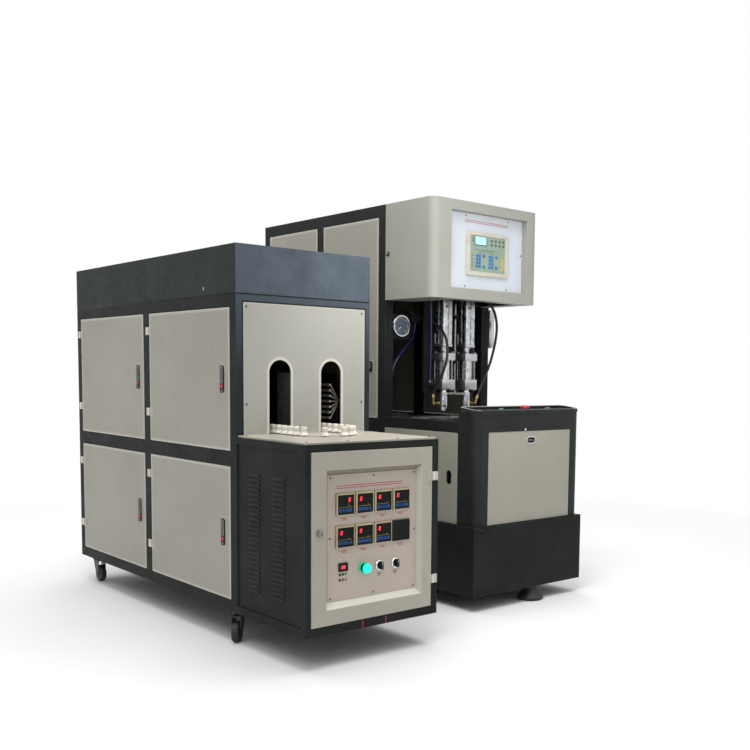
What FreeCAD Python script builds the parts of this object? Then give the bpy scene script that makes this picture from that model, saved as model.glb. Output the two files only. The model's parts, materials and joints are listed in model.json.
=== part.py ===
"""Semi-automatic stretch blow moulding machine: preform heating cabinet and blowing press.

Two steel cabinets work as one machine. The heating cabinet stands on casters and carries
preforms on a chain past infrared lamps. The blowing press stands on levelling feet, clamps
a two-cavity mould and blows the hot preforms from above.

Units are millimetres. Layout frame while modelling: X to the right, Y to the back, Z up, with
X = 0 on the heater's left face and Y = 0 on the front face of its tall part. Every solid is
moved at the end, so that the origin lies on the floor, in the middle of the plan.
"""
import FreeCAD
import Part

import math
import os

V = FreeCAD.Vector

# sides of the small round pieces that repeat
pin_sides = 8
small_sides = 12
medium_sides = 16
wheel_sides = 24

# ---------------------------------------------------------------- heating cabinet, main sizes
heater_width = 573.0
heater_length = 1422.0
box_setback = 16.0
box_width = heater_width - box_setback
box_depth = 426.0
frame_base_z = 112.0
heater_frame_top = 1231.0
hood_height = 169.0
heater_post_width = 28.0
heater_post_depth = 43.0
heater_right_post_width = 23.0
rear_post_depth = 39.0
divider_front_y = 683.0
divider_depth = 50.0
bottom_rail = 40.0
mid_rail_z = 632.0
mid_rail = 50.0
top_rail = 44.0
arch_top_rail = 29.0
sheet = 3.0
panel_gap = 0.5
seat = 0.5

# front control box
box_bottom_rail = 28.0
box_side_bar = 21.5
box_right_bar = 25.5
box_bar_depth = 22.0
box_top_rail = 22.0
shelf_thickness = 6.0
shelf_under_z = 735.0
shelf_edge = 6.0

# doors
door_gap = 3.0
door_depth = 16.0
door_skin = 2.0
hinge_proud = 5.0
hinge_setback = 2.0
hinge_barrel_r = 3.0
hinge_leaf = 19.0
hinge_height = 30.0
hinge_play = 0.3
hinge_inset = 71.0
hinge_upper_low = 116.0
hinge_lower_top = 80.0
control_hinge_low = 128.0
control_hinge_high = 129.0
lock_inset = 49.0
lock_width = 24.0
lock_height = 96.0
lock_proud = 3.0

# louvres on the sides of the control box
louvre_pitch = 16.6
louvre_count = 25
louvre_first_z = 213.0
louvre_length = 68.0
louvre_height = 9.0
louvre_proud = 5.0
louvre_columns = (112.0, 266.0)

# arches in the front wall of the oven
arch_width = 90.0
arch_spring_z = 960.0
arch_rim = 9.0
arch_rim_proud = 1.5

# preform conveyor: a closed loop of holders on a flat-plate chain
chain_pitch = 38.1
sprocket_teeth = 18
holder_count = 44
loop_offset = 1.5
loop_x = heater_width / 2.0 - loop_offset
loop_front_y = -105.0
empty_places = (15, 17)
chain_z = 705.0
link_thickness = 3.0
link_half_width = 8.0
slot_half_width = 8.0
spindle_side = 7.0
holder_lift = 3.0
holder_base_r = 17.0
holder_waist_r = 12.5
holder_top_r = 11.0
holder_base_height = 12.0
holder_plug_height = 18.0
sprocket_thickness = 6.0
sprocket_hub_r = 22.0
tooth_height = 4.0
beam_half_width = 50.0
beam_thickness = 12.0
beam_front_y = -150.0
pillar_side = 40.0
pillar_places = (60.0, 200.0)
motor_side = 110.0
motor_height = 130.0
gearbox_side = 90.0
gearbox_height = 60.0

# infrared lamps
lamp_levels = 7
lamp_pitch = 21.0
lamp_first_z = 790.0
lamp_r = 5.0
lamp_offset = 50.5
lamp_front_y = 95.0
lamp_bank_length = 388.0
lamp_cap = 14.0
lamp_cap_length = 22.0
lamp_sides = 6
reflector_thickness = 3.0
reflector_gap = 18.0
reflector_high_z = 960.0
inner_reflector_half = 40.0
inner_reflector_front_y = 130.0
inner_reflector_length = 330.0

# control door in the front of the box
panel_margin_left = 82.0
panel_margin_right = 74.0
panel_margin_low = 82.0
panel_margin_high = 85.0
panel_opening = (panel_margin_left, frame_base_z + panel_margin_low,
                 box_width - panel_margin_right, shelf_under_z - panel_margin_high)
panel_slope = (18.0, 19.0, 8.0, 18.0)
panel_floor = (panel_opening[0] + panel_slope[0], panel_opening[1] + panel_slope[1],
               panel_opening[2] - panel_slope[2], panel_opening[3] - panel_slope[3])
panel_recess = 25.0
panel_ledge = 12.0
tub_wall = 4.0
control_door_depth = 18.0
control_plate_thickness = 3.0
meter_columns = 4
meter_margin_left = 32.0
meter_margin_right = 34.0
meter_gap = 7.0
meter_height = 72.0
meter_rows = (533.0, 425.0)
meter_bezel = 6.0
meter_lip = 3.5
meter_body_depth = 62.0
display_place = (162.0, 324.0)
display_size = (36.0, 28.0)
display_proud = 4.0
lamp_button_place = (246.0, 312.0)
lamp_button_r = 15.0
selector_places = ((313.0, 312.0), (382.0, 312.0))
selector_r = 13.0
selector_lip = 3.0
selector_grip = 14.0
selector_grip_width = 8.0
selector_grip_high = 3.0
selector_grip_low = 1.0
bezel_width = 4.0
bezel_proud = 6.0
control_play = 0.3
button_travel = 4.0
knob_place = (54.0, 449.0)
knob_r = 12.0
knob_height = 12.0
knob_shaft_r = 5.0
cam_length = 52.0
cam_width = 14.0
cam_thickness = 4.0

# casters under the tall part of the heating cabinet
caster_inset_x = 44.0
caster_front_y = 62.0
caster_rear_inset = 77.0
caster_plate = 72.0
caster_plate_thickness = 4.0
caster_cup_r = 22.0
caster_cup_height = 12.0
caster_trail = 33.0
caster_headings = (224.0, 250.0, 268.0, 285.0)
caster_fork_width = 34.0
caster_leg = 3.0
crown_front = 12.0
crown_back = 14.0
leg_tip_half = 11.0
leg_tip_drop = 10.0
wheel_r = 37.5
axle_r = 5.0
axle_play = 0.08
wheel_side_play = 0.8

# ---------------------------------------------------------------- blowing press, main sizes
cabinet_gap = 387.0
press_x = heater_width + cabinet_gap
press_y = 398.0
press_width = 637.0
press_centre_x = press_width / 2.0
press_length = 997.0
press_height = 1696.0
skirt_low_z = 62.0
skirt_top_z = 347.0
skirt_proud = 8.0
skirt_wall = 4.0
press_post = 47.0
press_post_depth = 47.0
press_rail = 30.0
press_rear_post = 44.0
press_divider_y = 475.0
press_divider = 49.0
press_mid_rail_z = 701.0
press_mid_rail = 59.0
press_top_rail = 50.0
pit_rail_z = 727.0
pit_rail_top = 770.0
cross_rail_height = 60.0
head_height = 413.0
head_low_z = press_height - head_height
pivot_pin_r = 2.5
pivot_depth = 5.0
pivot_inset = 5.0
pivot_pin_length = 8.0
partition_y = 720.0
press_lock_z = 992.0

# levelling feet
foot_radii = (52.0, 58.0, 56.0, 41.0, 29.0, 27.0)
foot_heights = (0.0, 8.0, 16.0, 30.0, 46.0, skirt_low_z)
foot_member_width = 70.0
foot_member_height = 40.0
foot_rows = (-560.0, -120.0, 930.0)
foot_inset = 60.0
front_foot_offset = 49.0

# console in front of the mould pit
console_front_y = -592.0
console_back_y = -487.0
console_corner = 40.0
console_wall = 4.0
console_top_z = 804.0
tray_top_z = 818.0
tray_overhang = 3.0
tray_back_y = -478.0
tray_front_y = console_front_y - tray_overhang
tray_corner = console_corner + tray_overhang
tray_rim = 20.0
tray_recess = 12.0
flap_margin_left = 72.0
flap_margin_right = 66.0
flap_low_z = 348.0
flap_top_z = 731.0
flap = (flap_margin_left, flap_low_z, press_width - flap_margin_right, flap_top_z)
flap_setback = 2.0
flap_depth = 15.0
flap_gap = 2.0
flap_pivot_rise = 9.0
ear_width = 6.0
ear_depth = 10.0
ear_height = 12.0
flap_pull = (press_centre_x + 3.5, 691.0)
flap_pull_width = 52.0
flap_pull_height = 28.0
flap_pull_depth = 9.0
flap_pull_wall = 3.0
collar_r = 15.0
collar_height = 12.0
estop_place = (press_centre_x + 16.5, -540.0)
estop_r = 20.0
estop_stem_r = 8.0
estop_head = 14.0
estop_bevel = 4.0
hand_button_places = ((press_centre_x - 126.5, -540.0), (press_centre_x + 158.5, -540.0))
hand_button_r = 11.0
hand_button_height = 13.0
hand_travel = 5.0

# side panel over the mould pit
side_panel_front_gap = 4.0
side_panel_back_gap = 5.0
finger_hole = (-433.0, 539.0)
finger_hole_width = 28.0
finger_hole_height = 55.0

# head
head_depth = 316.0
head_wall = 3.0
head_corner = 40.0
head_gap = 1.0
window_margin_left = 104.0
window_margin_right = 74.0
window_margin_low = 47.0
window_margin_high = 42.0
head_window = (window_margin_left, head_low_z + window_margin_low,
               press_width - window_margin_right, press_height - window_margin_high)
head_recess = 33.0
head_plate_thickness = 2.0
head_hinge_out = 4.0
head_knuckle = 50.0
head_knuckle_inset = 70.0
head_leaf = 28.0
controller_width = 256.0
controller_height = 187.0
controller_offset = 21.5
controller_rise = 61.0
controller_left = press_centre_x + controller_offset - controller_width / 2.0
controller_low_z = head_window[1] + controller_rise
controller_box = (controller_left, controller_low_z,
                  controller_left + controller_width, controller_low_z + controller_height)
controller_thickness = 8.0
controller_rim = 23.0
controller_low_rim = 18.4
controller_top_rim = 16.1
controller_sink = 1.5
controller_corner = 5.0
slot_margin_left = 150.0
slot_margin_right = 62.0
head_bottom_slot = (slot_margin_left, press_width - slot_margin_right)
head_bottom_slot_depth = 250.0

# blow heads over the mould
blow_y = -110.0
cavity_pitch = 138.0
stretch_profile = 57.0
stretch_low_z = 1085.0
stretch_headroom = 136.0
stretch_high_z = press_height - stretch_headroom
stretch_corner = 5.0
spacer_height = 60.0
stretch_bore_r = 21.0
stretch_neck_r = 14.0
stretch_floor = 15.0
seal_flange = 74.0
seal_top_z = 1057.0
seal_flange_top = 34.0
seal_flange_low = 46.0
seal_low_z = 893.0
seal_tube_r = 30.0
seal_tie_r = 5.0
seal_tie_place = 27.0
seal_bore_r = 15.0
nozzle_play = 0.08
nozzle_r = 20.5
nozzle_top_z = 880.0
nozzle_taper_z = 812.0
nozzle_tip_z = 797.0
nozzle_tip_r = 13.0
nozzle_rod_top_z = 990.0
nozzle_rod_room = 12.0
yoke_low_z = 868.0
yoke_height = 12.0
yoke_depth = 30.0
rod_bore_r = 7.0
rod_r = 6.0
rod_tip_z = 806.0
piston_play = 0.5
piston_height = 25.0
fitting_r = 7.0
fitting_seat = 4.0
fitting_z = 830.0
fitting_gap = 0.3
bracket_half_width = 150.0
bracket_thickness = 12.0
bracket_low_z = 880.0
bracket_arm = 30.0
manifold_width = 110.0
manifold_offset = 113.5
manifold_front_y = 4.0
manifold_depth = 40.0
manifold_height = 40.0
manifold_drop = 88.0
manifold_low_z = head_low_z - manifold_drop
manifold_hanger = 30.0
hanger_front_y = 14.0
hanger_depth = 16.0

# mould and clamp
platen_half_width = 200.0
platen_thickness = 40.0
mould_half_width = 150.0
mould_thickness = 90.0
mould_low_z = 400.0
mould_top_z = 765.0
mould_part_y = blow_y
mould_open = 120.0
mould_play = 0.3
platen_lip = 8.0
tie_r = 18.0
tie_play = 0.08
tie_half_spacing = 175.0
tie_low_z = 375.0
tie_high_z = 738.0
rear_platen_y = 420.0
clamp_axis_z = 560.0
clamp_bore_r = 88.0
clamp_wall = 8.0
clamp_cap = 15.0
clamp_length = 240.0
clamp_rod_r = 25.0
clamp_rod_gap = 2.0
clamp_piston = 20.0
clamp_end_room = 5.0
bottle_neck_r = 14.0
bottle_neck_height = 22.0
bottle_shoulder_height = 55.0
bottle_r = 34.0
bottle_height = 230.0
bottle_base_bevel = 6.0

# air lines
hose_r = 6.0
hose_sides = 6
tube_r = 4.5
tube_y = -100.0
tube_top_z = 1300.0
left_tube_x = press_centre_x - 140.5
left_port_z = 925.0
right_tube_x = press_centre_x + 121.5
right_port_z = 1046.0
post_port_z = 968.0
port_side = 14.0
post_port_y = 12.0
gauge_x = 76.0
gauge_drop = 110.0
gauge_r = 48.0
gauge_thickness = 24.0
gauge_plate_sides = (56.0, 57.0, 58.0, 53.0)
gauge_face_sink = 5.0
gauge_rim = 6.0
filter_y = 10.0
filter_bowl_r = 19.0
filter_drop = 11.0
filter_bowl_height = 146.0
filter_head_height = 36.0
filter_gap = 3.0

# ---------------------------------------------------------------- derived places
hood_top = heater_frame_top + hood_height
mid_rail_top = mid_rail_z + mid_rail
shelf_top = shelf_under_z + shelf_thickness
sprocket_r = chain_pitch / (2.0 * math.sin(math.pi / sprocket_teeth))
straight_links = (holder_count - sprocket_teeth) // 2
loop_rear_y = loop_front_y + straight_links * chain_pitch
arch_centres = (loop_x - sprocket_r, loop_x + sprocket_r)
arch_panel_x = (heater_post_width + panel_gap, heater_width - heater_right_post_width - panel_gap)
panel_floor_width = panel_floor[2] - panel_floor[0]
meters_width = panel_floor_width - meter_margin_left - meter_margin_right
meter_width = (meters_width - (meter_columns - 1) * meter_gap) / meter_columns
meter_body = meter_width - 2.0 * meter_lip
blow_places = (press_centre_x - cavity_pitch / 2.0, press_centre_x + cavity_pitch / 2.0)
filter_x = press_width + filter_gap + filter_bowl_r
filter_top_z = head_low_z - filter_drop
filter_bowl_top_z = filter_top_z - filter_head_height
filter_low_z = filter_bowl_top_z - filter_bowl_height
right_reach = press_x + filter_x + filter_bowl_r
axle_z = wheel_r * math.cos(math.pi / wheel_sides)
wheel_half = caster_fork_width / 2.0 - caster_leg - wheel_side_play
wheel_heading = math.radians(caster_headings[0])
left_reach = (caster_inset_x + (caster_trail + wheel_r) * math.cos(wheel_heading)
              + wheel_half * math.sin(wheel_heading))
origin_x = (left_reach + right_reach) / 2.0
front_reach = -box_depth - knob_height
origin_y = (front_reach + heater_length) / 2.0


# ---------------------------------------------------------------- helpers
def block(x0, y0, z0, x1, y1, z1):
    """Box between two corners."""
    return Part.makeBox(x1 - x0, y1 - y0, z1 - z0, V(x0, y0, z0))


def rod(radius, start, end):
    """Round bar between two points."""
    axis = V(*end) - V(*start)
    return Part.makeCylinder(radius, axis.Length, V(*start), axis)


def ring(radius, sides, height=0.0):
    """Corners of a regular polygon round the Z axis, on the given radius."""
    corners = []
    for corner in range(sides):
        angle = (corner + 0.5) * 2.0 * math.pi / sides
        corners.append(V(radius * math.cos(angle), radius * math.sin(angle), height))
    return corners


def outline(corners):
    """Closed polygon through the corners."""
    return Part.makePolygon(corners + corners[:1])


def stand(shape, start, axis):
    """Turns a shape built along Z onto an axis and moves it to its start."""
    placed = shape.copy()
    placed.Placement = FreeCAD.Placement(V(*start), FreeCAD.Rotation(V(0, 0, 1), axis))
    return placed


def bar(radius, start, end, sides=small_sides):
    """Straight bar with many flat sides, for small round pieces that repeat."""
    axis = V(*end) - V(*start)
    return stand(Part.Face(outline(ring(radius, sides))).extrude(V(0, 0, axis.Length)), start, axis)


def hole(radius, start, end, sides=small_sides):
    """Cutting tool for the hole that such a bar turns or slides in: its flats stand on the radius."""
    return bar(radius / math.cos(math.pi / sides), start, end, sides)


def skin(sections):
    """Solid with flat faces through matching polygons, from the first to the last."""
    faces = [Part.Face(outline(sections[0])), Part.Face(outline(sections[-1]))]
    for low, high in zip(sections, sections[1:]):
        for corner in range(len(low)):
            after = (corner + 1) % len(low)
            faces.append(Part.Face(outline([low[corner], low[after], high[after], high[corner]])))
    return Part.Solid(Part.Shell(faces))


def taper(radii, heights, place, sides=small_sides):
    """Upright turned piece with flat sides: one radius at each height above the place."""
    sections = [ring(radius, sides, height) for radius, height in zip(radii, heights)]
    return stand(skin(sections), place, V(0, 0, 1))


def prism(points, direction):
    """Straight extrusion of a closed polygon."""
    return Part.Face(outline([V(*point) for point in points])).extrude(V(*direction))


def fuse(shapes):
    """One solid from touching or overlapping solids."""
    joined = shapes[0]
    for shape in shapes[1:]:
        joined = joined.fuse(shape)
    return joined.removeSplitter()


def cut(shape, tools):
    """Shape with every tool taken away."""
    for tool in tools:
        shape = shape.cut(tool)
    return shape


def group(shapes):
    """Several separate solids in one sub-part."""
    solids = []
    for shape in shapes:
        solids.extend(shape.Solids)
    return Part.makeCompound(solids)


def at_press(shape):
    """Moves a shape from the press's own frame to the layout frame."""
    return shape.translated(V(press_x, press_y, 0.0))


def export(name, shape):
    """Writes one sub-part, moved so that the origin is on the floor in the middle of the plan."""
    placed = shape.translated(V(-origin_x, -origin_y, 0.0))
    if not placed.isValid():
        print("not valid:", name)
    placed.exportStep(os.path.join("parts", name + ".step"))


def oval(x, z, width, height, y0, y1):
    """Slot-shaped prism along Y, with its long side along the larger size."""
    small = min(width, height) / 2.0
    reach = abs(width - height) / 2.0
    if width > height:
        ends = ((x - reach, z), (x + reach, z))
        middle = block(x - reach, y0, z - small, x + reach, y1, z + small)
    else:
        ends = ((x, z - reach), (x, z + reach))
        middle = block(x - small, y0, z - reach, x + small, y1, z + reach)
    rounds = [rod(small, (px, y0, pz), (px, y1, pz)) for px, pz in ends]
    return fuse([middle] + rounds)


def rounded_block(x0, y0, z0, x1, y1, z1, radius, corners):
    """Box with some of its upright edges rounded; corners names them as (x side, y side)."""
    solid = block(x0, y0, z0, x1, y1, z1)
    edges = []
    for edge in solid.Edges:
        middle = edge.CenterOfMass
        upright = abs(edge.Vertexes[0].X - edge.Vertexes[-1].X) < 0.01
        upright = upright and abs(edge.Vertexes[0].Y - edge.Vertexes[-1].Y) < 0.01
        side_x = "left" if middle.x < (x0 + x1) / 2.0 else "right"
        side_y = "front" if middle.y < (y0 + y1) / 2.0 else "back"
        if upright and (side_x, side_y) in corners:
            edges.append(edge)
    return solid.makeFillet(radius, edges)


# ---------------------------------------------------------------- heating cabinet
def heater_frame():
    """Welded frame of both parts of the heating cabinet, with conveyor beam and caster plates."""
    right = heater_width - heater_right_post_width
    rear = heater_length - rear_post_depth
    low = frame_base_z
    bars = []
    for y0, y1 in ((0.0, heater_post_depth), (rear, heater_length)):
        bars.append(block(0, y0, low, heater_post_width, y1, heater_frame_top))
        bars.append(block(right, y0, low, heater_width, y1, heater_frame_top))
    inner = (heater_post_depth, rear)
    divider_back_y = divider_front_y + divider_depth
    rail_low = heater_frame_top - top_rail
    side_bars = ((0.0, heater_post_width), (right, heater_width))
    for x0, x1 in side_bars:
        bars.append(block(x0, inner[0], low, x1, inner[1], low + bottom_rail))
        bars.append(block(x0, inner[0], rail_low, x1, inner[1], heater_frame_top))
        for y0, y1 in ((inner[0], divider_front_y), (divider_back_y, inner[1])):
            bars.append(block(x0, y0, mid_rail_z, x1, y1, mid_rail_top))
        bars.append(block(x0, divider_front_y, low + bottom_rail, x1, divider_back_y, rail_low))
    across = (heater_post_width, right)
    for y0, y1 in ((0.0, heater_post_depth), (divider_front_y, divider_back_y), (rear, heater_length)):
        bars.append(block(across[0], y0, low, across[1], y1, low + bottom_rail))
        bars.append(block(across[0], y0, mid_rail_z, across[1], y1, mid_rail_top))
    arch_low = heater_frame_top - arch_top_rail
    bars.append(block(across[0], 0.0, arch_low, across[1], heater_post_depth, heater_frame_top))
    bars.append(block(across[0], rear, rail_low, across[1], heater_length, heater_frame_top))
    front = -box_depth
    back = front + box_bar_depth
    box_right = box_width - box_right_bar
    for x0, x1 in ((0.0, box_side_bar), (box_right, box_width)):
        bars.append(block(x0, front, low, x1, back, shelf_under_z))
        bars.append(block(x0, back, low, x1, 0.0, low + box_bottom_rail))
        bars.append(block(x0, back, shelf_under_z - box_top_rail, x1, 0.0, shelf_under_z))
    bars.append(block(box_side_bar, front, low, box_right, back, low + box_bottom_rail))
    bars.append(block(box_side_bar, front, shelf_under_z - box_top_rail, box_right, back, shelf_under_z))
    bars += conveyor_beam(divider_back_y)
    for x, y in caster_places():
        half = caster_plate / 2.0
        plate_low = low - caster_plate_thickness
        bars.append(block(x - half, y - half, plate_low, x + half, y + half, low))
    return group(bars)


def conveyor_beam(back_y):
    """Beam under the chain, with the pillars that carry the island inside the loop."""
    low = mid_rail_top
    top = low + beam_thickness
    pieces = [block(loop_x - beam_half_width, beam_front_y, low, loop_x + beam_half_width, back_y, top)]
    half = pillar_side / 2.0
    for y in pillar_places:
        pieces.append(block(loop_x - half, y, top, loop_x + half, y + pillar_side, shelf_under_z))
    return pieces


def caster_places():
    """Swivel axes of the four casters."""
    xs = (caster_inset_x, heater_width - caster_inset_x)
    return [(x, y) for y in (caster_front_y, heater_length - caster_rear_inset) for x in xs]


def heater_hood():
    """Sheet hood over the oven, open below."""
    outer = block(0, 0, heater_frame_top, heater_width, heater_length, hood_top)
    inner = block(
        sheet, sheet, heater_frame_top - 1, heater_width - sheet, heater_length - sheet, hood_top - sheet
    )
    return outer.cut(inner)


def heater_panels():
    """Fixed sheets: right side, back and floors of the tall part."""
    gap = panel_gap
    right = heater_width - sheet
    rear = heater_length - rear_post_depth
    low = frame_base_z + bottom_rail + gap
    top = heater_frame_top - top_rail - gap
    panels = []
    for z0, z1 in ((low, mid_rail_z - gap), (mid_rail_top + gap, top)):
        panels.append(block(right, heater_post_depth + gap, z0, heater_width, divider_front_y - gap, z1))
        panels.append(block(right, divider_front_y + divider_depth + gap, z0, heater_width, rear - gap, z1))
        left_x = heater_post_width + gap
        right_x = heater_width - heater_right_post_width - gap
        panels.append(block(left_x, heater_length - sheet, z0, right_x, heater_length, z1))
    return panels


def louvre(y, z, face_x):
    """One pressed louvre: a hood that slopes out of the sheet and opens downwards."""
    half = louvre_length / 2.0
    tip = face_x - louvre_proud
    profile = [(face_x, y - half, z), (tip, y - half, z), (face_x, y - half, z + louvre_height)]
    return prism(profile, (0, louvre_length, 0))


def box_side(x0):
    """Side sheet of the control box."""
    front = -box_depth + box_bar_depth
    low = frame_base_z + box_bottom_rail
    return block(x0, front, low, x0 + sheet, 0.0, shelf_under_z - box_top_rail)


def control_box_panels():
    """Sides and floor of the control box; two columns of louvres cool it on the left."""
    gap = panel_gap
    inset = louvre_proud
    hoods = []
    for column in louvre_columns:
        for row in range(louvre_count):
            hoods.append(louvre(-column, louvre_first_z + row * louvre_pitch, inset))
    left = box_side(inset).fuse(hoods)
    right = box_side(box_width - inset - sheet)
    low = frame_base_z
    front = -box_depth + box_bar_depth + gap
    floor = block(box_side_bar + gap, front, low, box_width - box_right_bar - gap, -gap, low + sheet)
    return group([left, right, floor])


def arch_outline(x, half, top_z, y0, y1):
    """Round-headed doorway prism standing on the shelf."""
    head = rod(half, (x, y0, top_z), (x, y1, top_z))
    return fuse([head, block(x - half, y0, shelf_top - 1, x + half, y1, top_z)])


def arch_panel():
    """Front wall of the oven with the two arches through which the holders pass."""
    x0, x1 = arch_panel_x
    top = heater_frame_top - arch_top_rail - panel_gap
    panel = block(x0, 0.0, shelf_top, x1, sheet, top)
    half = arch_width / 2.0
    for x in arch_centres:
        rim = arch_outline(x, half + arch_rim, arch_spring_z, -arch_rim_proud, sheet)
        panel = panel.fuse(rim.common(block(x0, -arch_rim_proud, shelf_top, x1, sheet, top)))
    for x in arch_centres:
        panel = panel.cut(arch_outline(x, half, arch_spring_z, -arch_rim_proud - 1, sheet + 1))
    return panel.removeSplitter()


def loop_outline(radius, z0, z1):
    """Solid inside a racetrack that follows the chain at the given radius."""
    ends = []
    for y in (loop_front_y, loop_rear_y):
        ends.append(bar(radius, (loop_x, y, z0), (loop_x, y, z1), 2 * sprocket_teeth))
    return fuse([block(loop_x - radius, loop_front_y, z0, loop_x + radius, loop_rear_y, z1)] + ends)


def shelf_plate():
    """Table of the oven: an outer plate and the island inside the slot that the spindles run in."""
    z0, z1 = shelf_under_z, shelf_top
    table = block(shelf_edge, -box_depth + shelf_edge, z0, box_width - shelf_edge, 0.0, z1)
    oven_floor = block(
        heater_post_width, -1.0, z0, heater_width - heater_right_post_width, divider_front_y, z1
    )
    plate = fuse([table, oven_floor])
    plate = plate.cut(loop_outline(sprocket_r + slot_half_width, z0 - 1, z1 + 1))
    island = loop_outline(sprocket_r - slot_half_width, z0, z1)
    return group([plate, island])


def chain_points():
    """Places of the holders along the loop, one chain pitch apart, starting on the left run."""
    points = []
    for step in range(straight_links):
        points.append((loop_x - sprocket_r, loop_rear_y - step * chain_pitch))
    half_turn = sprocket_teeth // 2
    for step in range(half_turn):
        angle = math.pi + step * math.pi / half_turn
        points.append((loop_x + sprocket_r * math.cos(angle), loop_front_y + sprocket_r * math.sin(angle)))
    for step in range(straight_links):
        points.append((loop_x + sprocket_r, loop_front_y + step * chain_pitch))
    for step in range(half_turn):
        angle = step * math.pi / half_turn
        points.append((loop_x + sprocket_r * math.cos(angle), loop_rear_y + sprocket_r * math.sin(angle)))
    return points


def chain_link(start, end, z):
    """Flat link with pointed ends that reaches past both of its pins."""
    along = (V(end[0], end[1], 0) - V(start[0], start[1], 0)).normalize()
    side = V(-along.y, along.x, 0)
    reach = link_half_width
    a = V(start[0], start[1], z)
    b = V(end[0], end[1], z)
    corners = [a - along * reach, a - side * reach, b - side * reach, b + along * reach, b + side * reach,
               a + side * reach]
    return Part.Face(outline(corners)).extrude(V(0, 0, link_thickness))


def conveyor_chain():
    """Flat links at two levels in turn, so that each pair shares a pin."""
    points = chain_points()
    links = []
    for index, start in enumerate(points):
        end = points[(index + 1) % len(points)]
        links.append(chain_link(start, end, chain_z + (index % 2) * link_thickness))
    return group(links)


def preform_holder(x, y):
    """Holder: square spindle, flared base and the plug that a preform's neck goes over."""
    foot = chain_z + 2.0 * link_thickness
    base = shelf_top + holder_lift
    half = spindle_side / 2.0
    spindle = block(x - half, y - half, foot, x + half, y + half, base)
    radii = (holder_base_r, holder_waist_r, holder_top_r)
    heights = (0.0, holder_base_height, holder_base_height + holder_plug_height)
    return fuse([spindle, taper(radii, heights, (x, y, base), pin_sides)])


def preform_holders():
    """One holder on each pin of the chain; two places are empty."""
    holders = []
    for index, (x, y) in enumerate(chain_points()):
        if index not in empty_places:
            holders.append(preform_holder(x, y))
    return group(holders)


def sprocket(y):
    """Toothed wheel under the chain, with its hub on the conveyor beam."""
    low = chain_z - sprocket_thickness
    corners = []
    tooth_flanks = ((-0.32, -tooth_height), (-0.16, tooth_height),
                    (0.16, tooth_height), (0.32, -tooth_height))
    for tooth in range(sprocket_teeth):
        for share, grow in tooth_flanks:
            angle = (tooth + 0.5 + share) * 2.0 * math.pi / sprocket_teeth
            radius = sprocket_r + grow
            corners.append((loop_x + radius * math.cos(angle), y + radius * math.sin(angle), low))
    wheel = prism(corners, (0, 0, sprocket_thickness))
    hub = bar(sprocket_hub_r, (loop_x, y, mid_rail_top + beam_thickness), (loop_x, y, low))
    return fuse([wheel, hub])


def chain_drive():
    """Both sprockets, and the geared motor hung under the beam at the rear one."""
    z = mid_rail_top
    half = gearbox_side / 2.0
    y = loop_rear_y
    gearbox = block(loop_x - half, y - half, z - gearbox_height, loop_x + half, y + half, z)
    motor_low = z - gearbox_height - motor_height
    motor = bar(motor_side / 2.0, (loop_x, y, motor_low), (loop_x, y, z - gearbox_height), medium_sides)
    return group([sprocket(loop_front_y), sprocket(loop_rear_y), fuse([gearbox, motor])])


def lamp_heights():
    """Levels of the lamps."""
    return [lamp_first_z + level * lamp_pitch for level in range(lamp_levels)]


def lamp_x(side):
    """Axis of a bank of lamps."""
    return loop_x + side * (sprocket_r + lamp_offset)


def heat_lamps():
    """Quartz lamps with square ceramic ends, in a bank outside each run of the chain."""
    lamps = []
    half = lamp_cap / 2.0
    back_y = lamp_front_y + lamp_bank_length
    for side in (-1, 1):
        x = lamp_x(side)
        for z in lamp_heights():
            tube = bar(lamp_r, (x, lamp_front_y, z), (x, back_y, z), lamp_sides)
            front_y = lamp_front_y - lamp_cap_length
            front = block(x - half, front_y, z - half, x + half, lamp_front_y, z + half)
            back = block(x - half, back_y, z - half, x + half, back_y + lamp_cap_length, z + half)
            lamps.append(fuse([tube, front, back]))
    return group(lamps)


def lamp_reflectors():
    """Bright sheets behind the lamps, held by a post at each end, and the box between the runs."""
    pieces = []
    low, high = shelf_top, reflector_high_z
    front = lamp_front_y - lamp_cap_length
    back = lamp_front_y + lamp_bank_length + lamp_cap_length
    for side in (-1, 1):
        face = lamp_x(side) + side * lamp_cap / 2.0
        wall = lamp_x(side) + side * reflector_gap
        outer = wall + side * reflector_thickness
        x0, x1 = sorted((face, outer))
        body = block(x0, front, low, x1, back, high)
        x0, x1 = sorted((face - side, wall))
        bank_back_y = lamp_front_y + lamp_bank_length
        pieces.append(body.cut(block(x0, lamp_front_y, low - 1, x1, bank_back_y, high + 1)))
    half = inner_reflector_half
    front = inner_reflector_front_y
    back = front + inner_reflector_length
    box = block(loop_x - half, front, low, loop_x + half, back, high)
    inset = reflector_thickness
    hollow = block(loop_x - half + inset, front + inset, low - 1,
                   loop_x + half - inset, back - inset, high - inset)
    pieces.append(box.cut(hollow))
    return group(pieces)


def hinge_heights(upper):
    """Heights of the two hinges of a side door."""
    if upper:
        return (mid_rail_top + hinge_upper_low, heater_frame_top - top_rail - hinge_inset)
    return (frame_base_z + bottom_rail + hinge_upper_low, mid_rail_z - hinge_lower_top)


def side_hinge_axis(post_y):
    """Axis of a side door's hinges, just in front of the post that carries them."""
    return -hinge_proud, post_y + hinge_setback


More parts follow.
